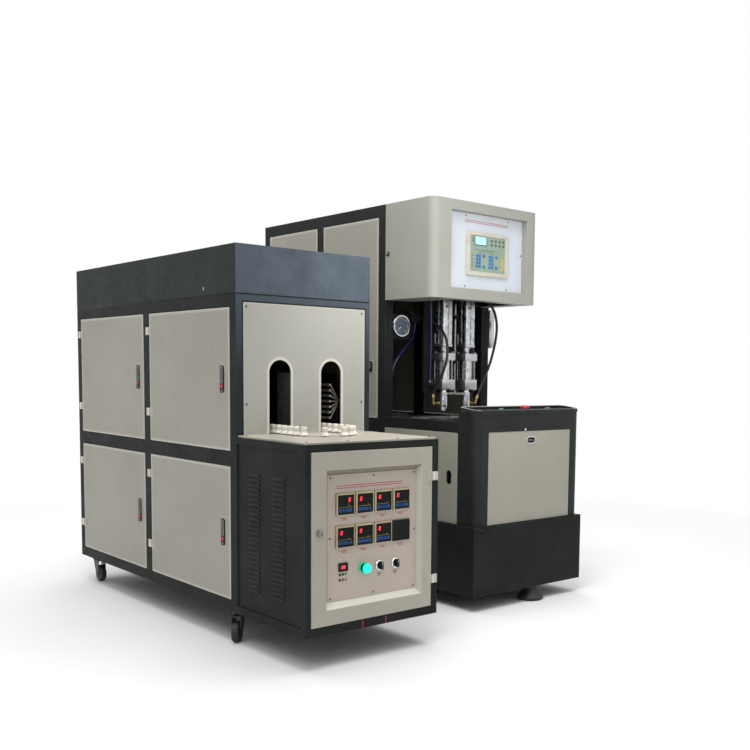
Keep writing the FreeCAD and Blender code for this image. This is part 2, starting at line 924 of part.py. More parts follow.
def door_hinges():
    """Fixed leaves and barrels of all the surface hinges of the heating cabinet."""
    leaves = []
    half = hinge_height / 2.0
    for post_y in (divider_front_y, heater_length - rear_post_depth):
        x, y = side_hinge_axis(post_y)
        for upper in (True, False):
            for z in hinge_heights(upper):
                leaf = block(x, y, z - half, 0.0, y + hinge_leaf, z + half)
                barrel = bar(hinge_barrel_r, (x, y, z - half), (x, y, z + half), pin_sides)
                leaves.append(fuse([leaf, barrel]).cut(block(0, y - 9, z - half, 9, y, z + half)))
    x, y = control_hinge_axis()
    for z in control_hinge_heights():
        leaf = block(x, y, z - half, x + hinge_leaf, -box_depth, z + half)
        barrel = bar(hinge_barrel_r, (x, y, z - half), (x, y, z + half), pin_sides)
        leaves.append(fuse([leaf, barrel]))
    return group(leaves)


def heater_door(y0, y1, upper):
    """Side door: a folded pan with hinge leaves at its back edge and a flush lock near the front."""
    low = mid_rail_top if upper else frame_base_z + bottom_rail
    high = heater_frame_top - top_rail if upper else mid_rail_z
    front, back = y0 + door_gap, y1 - door_gap
    z0, z1 = low + door_gap, high - door_gap
    body = block(0, front, z0, door_depth, back, z1)
    body = body.cut(block(door_skin, front + door_skin, z0 + door_skin, door_depth + 1,
                          back - door_skin, z1 - door_skin))
    x, y = side_hinge_axis(y1)
    half = hinge_height / 2.0
    near = y - hinge_barrel_r - hinge_play
    pieces = [body]
    for z in hinge_heights(upper):
        pieces.append(block(x, near - hinge_leaf, z - half, seat, near, z + half))
    lock_y = front + lock_inset
    lock_z = (low + high) / 2.0
    pieces.append(block(-lock_proud, lock_y - lock_width / 2.0, lock_z - lock_height / 2.0,
                        seat, lock_y + lock_width / 2.0, lock_z + lock_height / 2.0))
    return fuse(pieces)


# ---------------------------------------------------------------- control door and its fittings
def control_hinge_axis():
    """Axis of the control door, on the outer face beside the right-hand bar."""
    return box_width - box_right_bar + hinge_setback, -box_depth - hinge_proud


def control_hinge_heights():
    """Heights of the control door's two hinges."""
    return frame_base_z + control_hinge_low, shelf_under_z - control_hinge_high


def window_prism(outer, inner, y0, y1):
    """Four-sided tapering hole between two rectangles (x0, z0, x1, z1) at two depths."""
    sections = []
    for (x0, z0, x1, z1), y in ((outer, y0), (inner, y1)):
        sections.append([V(x0, y, z0), V(x1, y, z0), V(x1, y, z1), V(x0, y, z1)])
    return skin(sections)


def meter_places():
    """Centres of the temperature meters, row by row."""
    first = panel_floor[0] + meter_margin_left + meter_width / 2.0
    columns = [first + column * (meter_width + meter_gap) for column in range(meter_columns)]
    return [(x, z) for z in meter_rows for x in columns]


def panel_holes(y0, y1):
    """Square holes for the meters' bodies."""
    half = meter_body / 2.0 + panel_gap
    return [block(x - half, y0, z - half, x + half, y1, z + half) for x, z in meter_places()]


def control_door():
    """Folded door whose sloped window frames the control plate."""
    front = -box_depth
    back = front + control_door_depth
    x0 = box_side_bar + door_gap
    x1 = box_width - box_right_bar - door_gap
    z0 = frame_base_z + box_bottom_rail + door_gap
    z1 = shelf_under_z - box_top_rail - door_gap
    body = block(x0, front, z0, x1, back, z1)
    tub_x0, tub_z0 = panel_opening[0] - tub_wall, panel_opening[1] - tub_wall
    tub_x1, tub_z1 = panel_opening[2] + tub_wall, panel_opening[3] + tub_wall
    floor_y = front + panel_recess
    pocket = block(x0 + door_skin, front + door_skin, z0 + door_skin,
                   x1 - door_skin, back + 1, z1 - door_skin)
    pocket = pocket.cut(block(tub_x0, front - 1, tub_z0, tub_x1, back + 2, tub_z1))
    body = body.cut(pocket)
    tub = block(tub_x0, back, tub_z0, tub_x1, floor_y + door_skin, tub_z1)
    body = fuse([body, tub])
    body = body.cut(window_prism(panel_opening, panel_floor, front, floor_y))
    x0, z0, x1, z1 = panel_floor
    ledge = panel_ledge
    back = floor_y + door_skin + 1
    body = body.cut(block(x0 + ledge, floor_y - 1, z0 + ledge, x1 - ledge, back, z1 - ledge))
    hole_x, hole_z = knob_place
    body = body.cut(hole(knob_shaft_r + control_play, (hole_x, front - 1, hole_z), (hole_x, back, hole_z)))
    axis_x, axis_y = control_hinge_axis()
    near = axis_x - hinge_barrel_r - hinge_play
    half = hinge_height / 2.0
    leaves = [block(near - hinge_leaf, axis_y, z - half, near, front + seat, z + half)
              for z in control_hinge_heights()]
    return fuse([body] + leaves)


def control_plate():
    """Plate in the bottom of the window, with holes for the meters."""
    floor_y = -box_depth + panel_recess
    x0, z0, x1, z1 = panel_floor
    plate = block(x0, floor_y - control_plate_thickness, z0, x1, floor_y, z1)
    return cut(plate, panel_holes(floor_y - 10, floor_y + 10))


def plate_face():
    """Depth of the control plate's front face."""
    return -box_depth + panel_recess - control_plate_thickness


def panel_meters():
    """Square temperature meters: bezel in front of the plate, case behind it."""
    face = plate_face()
    meters = []
    for x, z in meter_places():
        half_x, half_z = meter_width / 2.0, meter_height / 2.0
        bezel = block(x - half_x, face - meter_bezel, z - half_z, x + half_x, face, z + half_z)
        half = meter_body / 2.0
        case = block(x - half, face, z - half, x + half, face + meter_body_depth, z + half)
        meters.append(fuse([bezel, case]))
    return group(meters)


def panel_fittings():
    """Timer display, and the collars round the push button and the selectors."""
    face = plate_face()
    x, z = display_place
    half_x, half_z = display_size[0] / 2.0, display_size[1] / 2.0
    pieces = [block(x - half_x, face - display_proud, z - half_z, x + half_x, face, z + half_z)]
    places = [(lamp_button_place, lamp_button_r)]
    places += [(place, selector_r) for place in selector_places]
    for (x, z), radius in places:
        outer = bar(radius + bezel_width, (x, face - bezel_proud, z), (x, face, z))
        bore = hole(radius + control_play, (x, face - bezel_proud - 1, z), (x, face + 1, z))
        pieces.append(outer.cut(bore))
    return group(pieces)


def lamp_button():
    """Lit push button, out by its travel."""
    x, z = lamp_button_place
    back = plate_face() - button_travel - control_play
    return bar(lamp_button_r, (x, back - bezel_proud, z), (x, back, z))


def selector(place):
    """Selector switch: round body with a lever grip across it."""
    x, z = place
    face = plate_face()
    collar = face - bezel_proud
    body = bar(selector_r, (x, collar - selector_lip, z), (x, face - control_play, z))
    half = selector_grip_width / 2.0
    grip = block(x - half, collar - selector_grip, z - selector_r + selector_grip_low,
                 x + half, collar - selector_lip, z + selector_r + selector_grip_high)
    return fuse([body, grip])


def door_knob():
    """Quarter-turn knob of the control door with its cam, shown unlocked."""
    x, z = knob_place
    front = -box_depth
    cam_y = front + box_bar_depth + control_play
    knob = bar(knob_r, (x, front - knob_height, z), (x, front - control_play, z), medium_sides)
    shaft = bar(knob_shaft_r, (x, front - control_play, z), (x, cam_y + cam_thickness, z))
    cam = block(x - cam_width / 2.0, cam_y, z - cam_width / 2.0, x + cam_width / 2.0, cam_y + cam_thickness,
                z + cam_length - cam_width / 2.0)
    return fuse([knob, shaft, cam])


# ---------------------------------------------------------------- casters
def caster_turn(shape, x, y, heading):
    """Turns a caster, built with its trail along +Y, to its heading."""
    turned = shape.copy()
    turned.rotate(V(x, y, 0), V(0, 0, 1), heading - 90.0)
    return turned


def caster_fork(x, y, heading):
    """Swivel cup, crown, two tapering legs and the axle."""
    top = frame_base_z - caster_plate_thickness - control_play
    crown_top = top - caster_cup_height
    crown_low = crown_top - caster_leg
    half = caster_fork_width / 2.0
    inner = half - caster_leg
    axle_y = y + caster_trail
    front, back = y - crown_front, axle_y + crown_back
    tip_z = axle_z - leg_tip_drop
    cup = bar(caster_cup_r, (x, y, crown_top), (x, y, top))
    pieces = [cup, block(x - half, front, crown_low, x + half, back, crown_top)]
    for leg_x in (x - half, x + inner):
        leg = [(leg_x, front, crown_low), (leg_x, back, crown_low),
               (leg_x, axle_y + leg_tip_half, tip_z), (leg_x, axle_y - leg_tip_half, tip_z)]
        pieces.append(prism(leg, (caster_leg, 0, 0)))
    pieces.append(bar(axle_r, (x - inner, axle_y, axle_z), (x + inner, axle_y, axle_z)))
    return caster_turn(fuse(pieces), x, y, heading)


def caster_wheel(x, y, heading):
    """Wheel with a bore for the axle."""
    axle_y = y + caster_trail
    x0, x1 = x - wheel_half, x + wheel_half
    wheel = bar(wheel_r, (x0, axle_y, axle_z), (x1, axle_y, axle_z), wheel_sides)
    bore = hole(axle_r + axle_play, (x0 - 1, axle_y, axle_z), (x1 + 1, axle_y, axle_z))
    return caster_turn(wheel.cut(bore), x, y, heading)


# ---------------------------------------------------------------- blowing press
def press_frame():
    """Welded frame of the press, its foot members and the door pivots."""
    bars = []
    rear = press_length - press_rear_post
    right = press_width - press_post
    divider_back = press_divider_y + press_divider
    low = skirt_top_z
    top = press_height
    for x0, x1 in ((0.0, press_post), (right, press_width)):
        bars.append(block(x0, 0.0, low, x1, press_post_depth, top))
    side_rails = ((0.0, press_rail), (press_width - press_rail, press_width))
    for x0, x1 in side_rails:
        bars.append(block(x0, rear, low, x1, press_length, top))
        bars.append(block(x0, press_divider_y, low, x1, divider_back, top - press_top_rail))
        bars.append(block(x0, press_post_depth, top - press_top_rail, x1, rear, top))
        for y0, y1 in ((press_post_depth, press_divider_y), (divider_back, rear)):
            bars.append(block(x0, y0, press_mid_rail_z, x1, y1, press_mid_rail_z + press_mid_rail))
        bars.append(block(x0, console_back_y, pit_rail_z, x1, 0.0, pit_rail_top))
    bars.append(block(press_post, 0.0, top - press_top_rail, right, press_post_depth, top))
    bars.append(block(press_rail, rear, top - press_top_rail, press_width - press_rail, press_length, top))
    bars.append(block(press_rail, rear, press_mid_rail_z, press_width - press_rail, press_length,
                      press_mid_rail_z + press_mid_rail))
    bars.append(block(press_post, 0.0, head_low_z, right, press_post_depth, head_low_z + cross_rail_height))
    for y in foot_rows:
        half = foot_member_width / 2.0
        bars.append(block(skirt_wall - skirt_proud, y - half, skirt_low_z,
                          press_width + skirt_proud - skirt_wall, y + half, skirt_low_z + foot_member_height))
    half = port_side / 2.0
    bars.append(block(press_post, post_port_y - half, post_port_z - port_side,
                      press_post + port_side, post_port_y + half, post_port_z))
    bars += [head_hinge_leaf(z) for z in head_knuckle_heights()]
    for x, y, z0, z1 in pivot_pin_places():
        bars.append(bar(pivot_pin_r, (x, y, z0), (x, y, z1), pin_sides))
    return group(bars)


def pivot_pin_places():
    """Pins in the rails on which the side panel and the two upper doors turn."""
    pins = []
    low = skirt_top_z
    y = side_panel_pivot_y()
    pins.append((pivot_depth, y, low, low + pivot_pin_length))
    pins.append((pivot_depth, y, pit_rail_z - pivot_pin_length, pit_rail_z))
    door_low = press_mid_rail_z + press_mid_rail
    door_high = press_height - press_top_rail
    for edge in press_door_edges():
        y = edge[1] - door_gap - pivot_inset
        pins.append((pivot_depth, y, door_low, door_low + pivot_pin_length))
        pins.append((pivot_depth, y, door_high - pivot_pin_length, door_high))
    return pins


def press_door_edges():
    """Front and back limits of the two upper door openings of the press."""
    front_edges = (press_post_depth, press_divider_y)
    rear_edges = (press_divider_y + press_divider, press_length - press_rear_post)
    return front_edges, rear_edges


def side_panel_pivot_y():
    """Where the side panel turns, just in front of the tall part."""
    return -side_panel_back_gap - pivot_inset


def foot_places():
    """One foot under the console, four under the tall part."""
    places = [(press_centre_x + front_foot_offset, foot_rows[0])]
    for y in foot_rows[1:]:
        places += [(foot_inset, y), (press_width - foot_inset, y)]
    return places


def base_skirt():
    """Plinth of the press: folded sheet with a top deck, open below."""
    x0, x1 = -skirt_proud, press_width + skirt_proud
    y0, y1 = console_front_y - skirt_proud, press_length
    outer = block(x0, y0, skirt_low_z, x1, y1, skirt_top_z)
    inner = block(x0 + skirt_wall, y0 + skirt_wall, skirt_low_z - 1, x1 - skirt_wall, y1 - skirt_wall,
                  skirt_top_z - skirt_wall)
    return outer.cut(inner)


def levelling_feet():
    """Bell-shaped rubber machine feet, seated under the foot members."""
    return group([taper(foot_radii, foot_heights, (x, y, 0.0)) for x, y in foot_places()])


def press_panels():
    """Fixed sheets of the press: right side, lower left side, back, roof and bay partition."""
    gap = panel_gap
    panels = []
    low = skirt_top_z
    mid_low, mid_high = press_mid_rail_z, press_mid_rail_z + press_mid_rail
    top = press_height - press_top_rail
    right = press_width - sheet
    for y0, y1 in press_door_edges():
        panels.append(block(0, y0 + gap, low, sheet, y1 - gap, mid_low - gap))
        panels.append(block(right, y0 + gap, low, press_width, y1 - gap, mid_low - gap))
        panels.append(block(right, y0 + gap, mid_high + gap, press_width, y1 - gap, top - gap))
    rear = press_length - sheet
    x0, x1 = press_rail + gap, press_width - press_rail - gap
    panels.append(block(x0, rear, low, x1, press_length, mid_low - gap))
    panels.append(block(x0, rear, mid_high + gap, x1, press_length, top - gap))
    panels.append(block(x0, press_post_depth + gap, press_height - sheet,
                        x1, press_length - press_rear_post - gap, press_height))
    panels.append(block(right, console_back_y + gap, low, press_width, -gap, pit_rail_z - gap))
    panels.append(block(x0, partition_y, mid_high, x1, partition_y + sheet, press_height - sheet))
    return panels


def fixed_panels():
    """All screwed-on sheets of both cabinets."""
    return group(heater_panels() + [at_press(panel) for panel in press_panels()])


def console_cabinet():
    """Front console: shell, rimmed tray on top and the collars of the buttons."""
    front, back = console_front_y, console_back_y
    front_corners = (("left", "front"), ("right", "front"))
    wall = console_wall
    body = rounded_block(0, front, skirt_top_z, press_width, back, console_top_z, console_corner, front_corners)
    inner = rounded_block(wall, front + wall, skirt_top_z - 1, press_width - wall, back - wall,
                          console_top_z - wall, console_corner - wall, front_corners)
    body = body.cut(inner)
    x0, z0, x1, z1 = flap
    body = body.cut(block(x0, front - 1, z0, x1, front + wall + 1, z1))
    all_corners = (("left", "front"), ("right", "front"), ("left", "back"), ("right", "back"))
    tray = rounded_block(-tray_overhang, tray_front_y, console_top_z,
                         press_width + tray_overhang, tray_back_y, tray_top_z, tray_corner, all_corners)
    rim = tray_rim
    well = rounded_block(rim - tray_overhang, tray_front_y + rim, tray_top_z - tray_recess,
                         press_width + tray_overhang - rim, tray_back_y - rim, tray_top_z + 1,
                         tray_corner - rim, all_corners)
    pieces = [body, tray.cut(well)]
    floor = tray_top_z - tray_recess
    places = [(estop_place, estop_stem_r)] + [(place, hand_button_r) for place in hand_button_places]
    for (x, y), radius in places:
        collar = bar(collar_r, (x, y, floor - 1), (x, y, floor + collar_height))
        bore = hole(radius + control_play, (x, y, floor), (x, y, floor + collar_height + 1))
        pieces.append(collar.cut(bore))
    for side_x, inward in ((x0, 1), (x1, -1)):
        y = front + flap_setback + flap_depth / 2.0
        z = z0 + flap_gap + flap_pivot_rise
        start = side_x - inward * ear_width
        end = side_x + inward * pivot_pin_length
        pieces.append(bar(pivot_pin_r, (start, y, z), (end, y, z), pin_sides))
        ear_x0, ear_x1 = sorted((side_x - inward * ear_width, side_x))
        pieces.append(block(ear_x0, front + wall - seat, z0, ear_x1, y + ear_depth, z + ear_height))
    return fuse(pieces)


def front_access_panel():
    """Drop-down flap of the console with a flush oval pull."""
    x0, z0, x1, z1 = flap
    x0 += flap_gap
    x1 -= flap_gap
    z0 += flap_gap
    z1 -= flap_gap
    front = console_front_y + flap_setback
    back = front + flap_depth
    body = block(x0, front, z0, x1, back, z1)
    hollow = block(x0 + door_skin, front + door_skin, z0 + door_skin,
                   x1 - door_skin, back + 1, z1 - door_skin)
    pull_x, pull_z = flap_pull
    wall = flap_pull_wall
    half_x, half_z = flap_pull_width / 2.0 + wall, flap_pull_height / 2.0 + wall
    cup = block(pull_x - half_x, front, pull_z - half_z,
                pull_x + half_x, front + flap_pull_depth + wall, pull_z + half_z)
    body = body.cut(hollow).fuse(cup)
    pull = oval(pull_x, pull_z, flap_pull_width, flap_pull_height, front - 1, front + flap_pull_depth)
    body = body.cut(pull)
    y = console_front_y + flap_setback + flap_depth / 2.0
    z = flap[1] + flap_gap + flap_pivot_rise
    body = body.cut(hole(pivot_pin_r + axle_play, (0, y, z), (press_width, y, z), pin_sides))
    return body.removeSplitter()


def turned_oval(y, z, width, height, x0, x1):
    """Slot-shaped prism along X for a side sheet."""
    flat = oval(y, z, width, height, x0, x1)
    flat.rotate(V(0, 0, 0), V(0, 0, 1), 90)
    return flat.mirror(V(0, 0, 0), V(1, 0, 0))


def pivot_door(y0, y1, z0, z1, pivot_y):
    """Folded pan that turns on two pins near its back edge."""
    body = block(0, y0, z0, door_depth, y1, z1)
    body = body.cut(block(door_skin, y0 + door_skin, z0 + door_skin, door_depth + 1, y1 - door_skin,
                          z1 - door_skin))
    start, end = (pivot_depth, pivot_y, z0 - 1), (pivot_depth, pivot_y, z1 + 1)
    return body.cut(hole(pivot_pin_r + axle_play, start, end, pin_sides))


def side_access_panel():
    """Side panel of the mould pit, with an oval finger hole near its front edge."""
    y0 = console_back_y + side_panel_front_gap
    y1 = side_panel_pivot_y() + pivot_inset
    z0 = skirt_top_z + door_gap
    z1 = pit_rail_z - door_gap
    body = pivot_door(y0, y1, z0, z1, side_panel_pivot_y())
    y, z = finger_hole
    return body.cut(turned_oval(y, z, finger_hole_width, finger_hole_height, -1, door_skin + 1))


def press_door(edge):
    """Upper side door of the press with a flush lock near its front edge."""
    y0, y1 = edge[0] + door_gap, edge[1] - door_gap
    z0 = press_mid_rail_z + press_mid_rail + door_gap
    z1 = press_height - press_top_rail - door_gap
    body = pivot_door(y0, y1, z0, z1, y1 - pivot_inset)
    lock_y = y0 + lock_inset
    lock_z = press_lock_z
    half = lock_height / 4.0
    return fuse([body, block(-lock_proud, lock_y - lock_width / 2.0, lock_z - half, seat,
                             lock_y + lock_width / 2.0, lock_z + half)])


def head_cover():
    """Head housing: rounded front corners, a sunk window in front, open at the back."""
    front = -head_depth
    back = -head_gap
    z0, z1 = head_low_z, press_height
    front_corners = (("left", "front"), ("right", "front"))
    outer = rounded_block(0, front, z0, press_width, back, z1, head_corner, front_corners)
    wall = head_wall
    inner = rounded_block(wall, front + wall, z0 + wall, press_width - wall, back + 1, z1 - wall,
                          head_corner - wall, (("left", "front"), ("right", "front")))
    x0, wz0, x1, wz1 = head_window
    tub = block(x0 - wall, front, wz0 - wall, x1 + wall, front + head_recess + wall, wz1 + wall)
    body = outer.cut(inner).fuse(tub)
    body = body.cut(block(x0, front - 1, wz0, x1, front + head_recess, wz1))
    slot_x0, slot_x1 = head_bottom_slot
    body = body.cut(block(slot_x0, back - head_bottom_slot_depth, z0 - 1, slot_x1, back + 1, z0 + wall + 1))
    axis_x, axis_y = head_hinge_axis()
    for z in head_knuckle_heights():
        knuckle = bar(head_hinge_out, (axis_x, axis_y, z), (axis_x, axis_y, z + head_knuckle), pin_sides)
        leaf = block(press_width - 1, axis_y - head_leaf, z, axis_x, axis_y, z + head_knuckle)
        body = body.fuse(knuckle).fuse(leaf)
    return body.removeSplitter()


def head_hinge_axis():
    """Upright axis at the right-hand back edge of the head housing."""
    return press_width + head_hinge_out, -head_gap - head_hinge_out - 1.0


def head_knuckle_heights():
    """Lower ends of the head's two hinge knuckles."""
    return head_low_z + head_knuckle_inset, press_height - head_knuckle_inset - head_knuckle


def head_hinge_leaf(z):
    """Leaf on the right-hand post with the barrel that stands under a knuckle of the head."""
    axis_x, axis_y = head_hinge_axis()
    low, high = z - head_knuckle, z - control_play
    barrel = bar(head_hinge_out - control_play, (axis_x, axis_y, low), (axis_x, axis_y, high), pin_sides)
    arm = block(press_width + control_play, axis_y, low, axis_x, 0.0, high)
    leaf = block(press_width, 0.0, low, axis_x, head_leaf, high)
    return fuse([barrel, arm, leaf])


def head_plate():
    """White plate in the head's window."""
    x0, z0, x1, z1 = head_window
    back = -head_depth + head_recess
    return block(x0 + 1, back - head_plate_thickness, z0 + 1, x1 - 1, back, z1 - 1)


def controller():
    """Membrane controller: raised bezel round a sunk keypad."""
    x0, z0, x1, z1 = controller_box
    back = -head_depth + head_recess - head_plate_thickness
    front = back - controller_thickness
    body = block(x0, front, z0, x1, back, z1)
    corner_edges = [edge for edge in body.Edges if abs(edge.Vertexes[0].Y - edge.Vertexes[-1].Y) > 1]
    body = body.makeChamfer(controller_corner, corner_edges)
    rim = controller_rim
    return body.cut(block(x0 + rim, front - 1, z0 + controller_low_rim,
                          x1 - rim, front + controller_sink, z1 - controller_top_rim))


# ---------------------------------------------------------------- blow heads
def cylinder_bracket():
    """Back plate of the blow heads with its arms, and the air manifold on its hanger."""
    face = blow_y + seal_flange / 2.0
    back = face + bracket_thickness
    mid = press_centre_x
    half = bracket_half_width
    pieces = [block(mid - half, face, bracket_low_z, mid + half, back, stretch_high_z)]
    arm_low = head_low_z
    arm_high = head_low_z + cross_rail_height
    for x0 in (mid - half, mid + half - bracket_arm):
        pieces.append(block(x0, back, arm_low, x0 + bracket_arm, 0.0, arm_high))
    half = port_side / 2.0
    for x in (left_tube_x, right_tube_x):
        pieces.append(block(x - half, tube_y - half, tube_top_z, x + half, face, tube_top_z + port_side))
    bracket = fuse(pieces)
    x0 = mid - manifold_offset - manifold_width / 2.0
    x1 = x0 + manifold_width
    top = manifold_low_z + manifold_height
    body = block(x0, manifold_front_y, manifold_low_z, x1, manifold_front_y + manifold_depth, top)
    middle = (x0 + x1) / 2.0
    hanger = block(middle - manifold_hanger / 2.0, hanger_front_y, top,
                   middle + manifold_hanger / 2.0, hanger_front_y + hanger_depth, head_low_z)
    return group([bracket, fuse([body, hanger])])


def stretch_cylinder(x):
    """Square-profile air cylinder that drives the stretch rod."""
    half = stretch_profile / 2.0
    body = block(x - half, blow_y - half, stretch_low_z, x + half, blow_y + half, stretch_high_z)
    corner_edges = [edge for edge in body.Edges if abs(edge.Vertexes[0].Z - edge.Vertexes[-1].Z) > 1]
    body = body.makeChamfer(stretch_corner, corner_edges)
    neck = bar(stretch_neck_r, (x, blow_y, seal_top_z), (x, blow_y, stretch_low_z))
    spacer = block(x - half, blow_y + half, stretch_low_z,
                   x + half, blow_y + seal_flange / 2.0, stretch_low_z + spacer_height)
    body = fuse([body, neck, spacer])
    floor, roof = stretch_low_z + stretch_floor, stretch_high_z - stretch_floor
    bore = hole(stretch_bore_r, (x, blow_y, floor), (x, blow_y, roof))
    passage = hole(rod_bore_r, (x, blow_y, seal_top_z - 1), (x, blow_y, floor + 1), pin_sides)
    return body.cut(bore).cut(passage)


def air_port(x):
    """Elbow on a seal cylinder for its air tube: side, place across and height of its top."""
    if x < press_centre_x:
        return -1, left_tube_x, left_port_z
    return 1, right_tube_x, right_port_z


def seal_cylinder(x):
    """Hollow-rod air cylinder that presses the nozzle on the mould."""
    half = seal_flange / 2.0
    flanges = (
        (seal_low_z, seal_low_z + seal_flange_low),
        (seal_top_z - seal_flange_top, seal_top_z),
    )
    pieces = [block(x - half, blow_y - half, z0, x + half, blow_y + half, z1) for z0, z1 in flanges]
    low, high = flanges[0][1], flanges[1][0]
    pieces.append(bar(seal_tube_r, (x, blow_y, low), (x, blow_y, high), medium_sides))
    body = fuse(pieces)
    ties = []
    for side_x in (-1, 1):
        for side_y in (-1, 1):
            tie_x = x + side_x * seal_tie_place
            tie_y = blow_y + side_y * seal_tie_place
            ties.append(block(tie_x - seal_tie_r, tie_y - seal_tie_r, low,
                              tie_x + seal_tie_r, tie_y + seal_tie_r, high))
    body = fuse([body] + ties)
    side, port_x, port_z = air_port(x)
    x0, x1 = sorted((x + side * half, port_x + side * port_side / 2.0))
    half = port_side / 2.0
    body = body.fuse(block(x0, tube_y - half, port_z - port_side, x1, tube_y + half, port_z))
    bore_top = nozzle_rod_top_z + nozzle_rod_room
    bore = hole(seal_bore_r + nozzle_play, (x, blow_y, seal_low_z - 1), (x, blow_y, bore_top))
    passage = hole(rod_bore_r, (x, blow_y, seal_low_z), (x, blow_y, seal_top_z + 1), pin_sides)
    return body.cut(bore).cut(passage)


def nozzle(x):
    """Blow nozzle with its hollow piston rod."""
    radii = (nozzle_tip_r, nozzle_r, nozzle_r)
    heights = (0.0, nozzle_taper_z - nozzle_tip_z, nozzle_top_z - nozzle_tip_z)
    body = taper(radii, heights, (x, blow_y, nozzle_tip_z), medium_sides)
    return fuse([body, bar(seal_bore_r, (x, blow_y, nozzle_top_z), (x, blow_y, nozzle_rod_top_z))])


def hose_fitting(x, side, route):
    """Brass elbow from a nozzle's side to just under the end of its hose, in line with the hose."""
    end = V(*route[-1])
    along = (end - V(*route[-2])).normalize()
    corner = end + along * ((end.z - fitting_z) / -along.z)
    start = (x + side * (nozzle_r - fitting_seat), blow_y, fitting_z)
    level = bar(fitting_r, start, tuple(corner), pin_sides)
    low, high = corner + along * fitting_r * 0.4, end + along * fitting_gap
    rising = bar(fitting_r, tuple(low), tuple(high), pin_sides)
    return fuse([level, rising])


def blow_nozzles():
    """Both nozzles on their yoke, each with a brass air fitting on its outer side."""
    left, right = blow_places
    half = yoke_depth / 2.0
    yoke = block(left, blow_y - half, yoke_low_z, right, blow_y + half, yoke_low_z + yoke_height)
    body = fuse([nozzle(left), nozzle(right), yoke])
    for x in blow_places:
        start, end = (x, blow_y, nozzle_tip_z - 1), (x, blow_y, nozzle_rod_top_z + 1)
        body = body.cut(hole(rod_bore_r, start, end, pin_sides))
    fittings = []
    for x, side, route in ((left, -1, left_hose_route), (right, 1, right_hose_route)):
        fittings.append(hose_fitting(x, side, route).cut(body))
    return group([body] + fittings)


def stretch_rods():
    """Stretch rods with their pistons."""
    rods = []
    for x in blow_places:
        top = stretch_high_z - stretch_floor
        stem = bar(rod_r, (x, blow_y, rod_tip_z), (x, blow_y, top), pin_sides)
        piston = bar(stretch_bore_r - piston_play, (x, blow_y, top - piston_height), (x, blow_y, top))
        rods.append(fuse([stem, piston]))
    return group(rods)


# ---------------------------------------------------------------- mould and clamp
def tie_places():
    """Centres of the tie bars."""
    xs = (press_centre_x - tie_half_spacing, press_centre_x + tie_half_spacing)
    return [(x, z) for z in (tie_low_z, tie_high_z) for x in xs]


def platen(y, low_z):
    """Clamp plate across the press."""
    mid = press_centre_x
    half = platen_half_width
    return block(mid - half, y, low_z, mid + half, y + platen_thickness, mould_top_z)


def front_platen_y():
    """Front face of the front platen."""
    return mould_part_y - mould_thickness - platen_thickness


def clamp_frame():
    """Front and rear platens, standing on the deck, and the four tie bars between them."""
    front = front_platen_y()
    mid = press_centre_x
    rod_hole = hole(clamp_rod_r + clamp_rod_gap, (mid, rear_platen_y - 1, clamp_axis_z),
                    (mid, rear_platen_y + platen_thickness + 1, clamp_axis_z))
    pieces = [platen(front, skirt_top_z), platen(rear_platen_y, skirt_top_z).cut(rod_hole)]
    for x, z in tie_places():
        pieces.append(bar(tie_r, (x, front + platen_thickness, z), (x, rear_platen_y, z)))
    return group(pieces)


def clamp_cylinder():
    """Air cylinder behind the rear platen."""
    mid = press_centre_x
    y0 = rear_platen_y + platen_thickness
    y1 = y0 + clamp_length
    body = bar(clamp_bore_r + clamp_wall, (mid, y0, clamp_axis_z), (mid, y1, clamp_axis_z), wheel_sides)
    start, end = (mid, y0 + clamp_cap, clamp_axis_z), (mid, y1 - clamp_cap, clamp_axis_z)
    bore = hole(clamp_bore_r, start, end, wheel_sides)
    gland = hole(clamp_rod_r + tie_play, (mid, y0 - 1, clamp_axis_z), (mid, y0 + clamp_cap + 1, clamp_axis_z))
    return body.cut(bore).cut(gland)


def moving_platen():
    """Sliding platen on the tie bars, and the rod and piston that push it."""
    face = mould_part_y + mould_open + mould_thickness
    back = face + platen_thickness
    mid = press_centre_x
    plate = platen(face, tie_low_z - tie_r - platen_lip)
    holes = [hole(tie_r + tie_play, (x, face - 1, z), (x, back + 1, z)) for x, z in tie_places()]
    piston_back = rear_platen_y + platen_thickness + clamp_length - clamp_cap - clamp_end_room
    push = bar(clamp_rod_r, (mid, back, clamp_axis_z), (mid, piston_back, clamp_axis_z))
    piston = bar(clamp_bore_r - piston_play, (mid, piston_back - clamp_piston, clamp_axis_z),
                 (mid, piston_back, clamp_axis_z), wheel_sides)
    return fuse([cut(plate, holes), push, piston])


def bottle(x, part_y):
    """Shape of a blown bottle, hung by its neck from the top of the mould."""
    base = mould_top_z - bottle_neck_height - bottle_height
    shoulder = bottle_height - bottle_shoulder_height
    radii = (bottle_r - bottle_base_bevel, bottle_r, bottle_r, bottle_neck_r, bottle_neck_r)
    heights = (0.0, bottle_base_bevel, shoulder, bottle_height, bottle_height + bottle_neck_height + 1.0)
    return taper(radii, heights, (x, part_y, base), medium_sides)


def mould_half(y0, y1, part_y):
    """Half mould with two half cavities open at the top."""
    mid = press_centre_x
    body = block(mid - mould_half_width, y0, mould_low_z, mid + mould_half_width, y1, mould_top_z)
    return cut(body, [bottle(x, part_y) for x in blow_places])


def mould_front():
    """Front half, bolted to the front platen."""
    return mould_half(mould_part_y - mould_thickness, mould_part_y, mould_part_y)


def mould_rear():
    """Back half, bolted to the moving platen, shown open."""
    y0 = mould_part_y + mould_open
    return mould_half(y0 + mould_play, y0 + mould_thickness, y0)


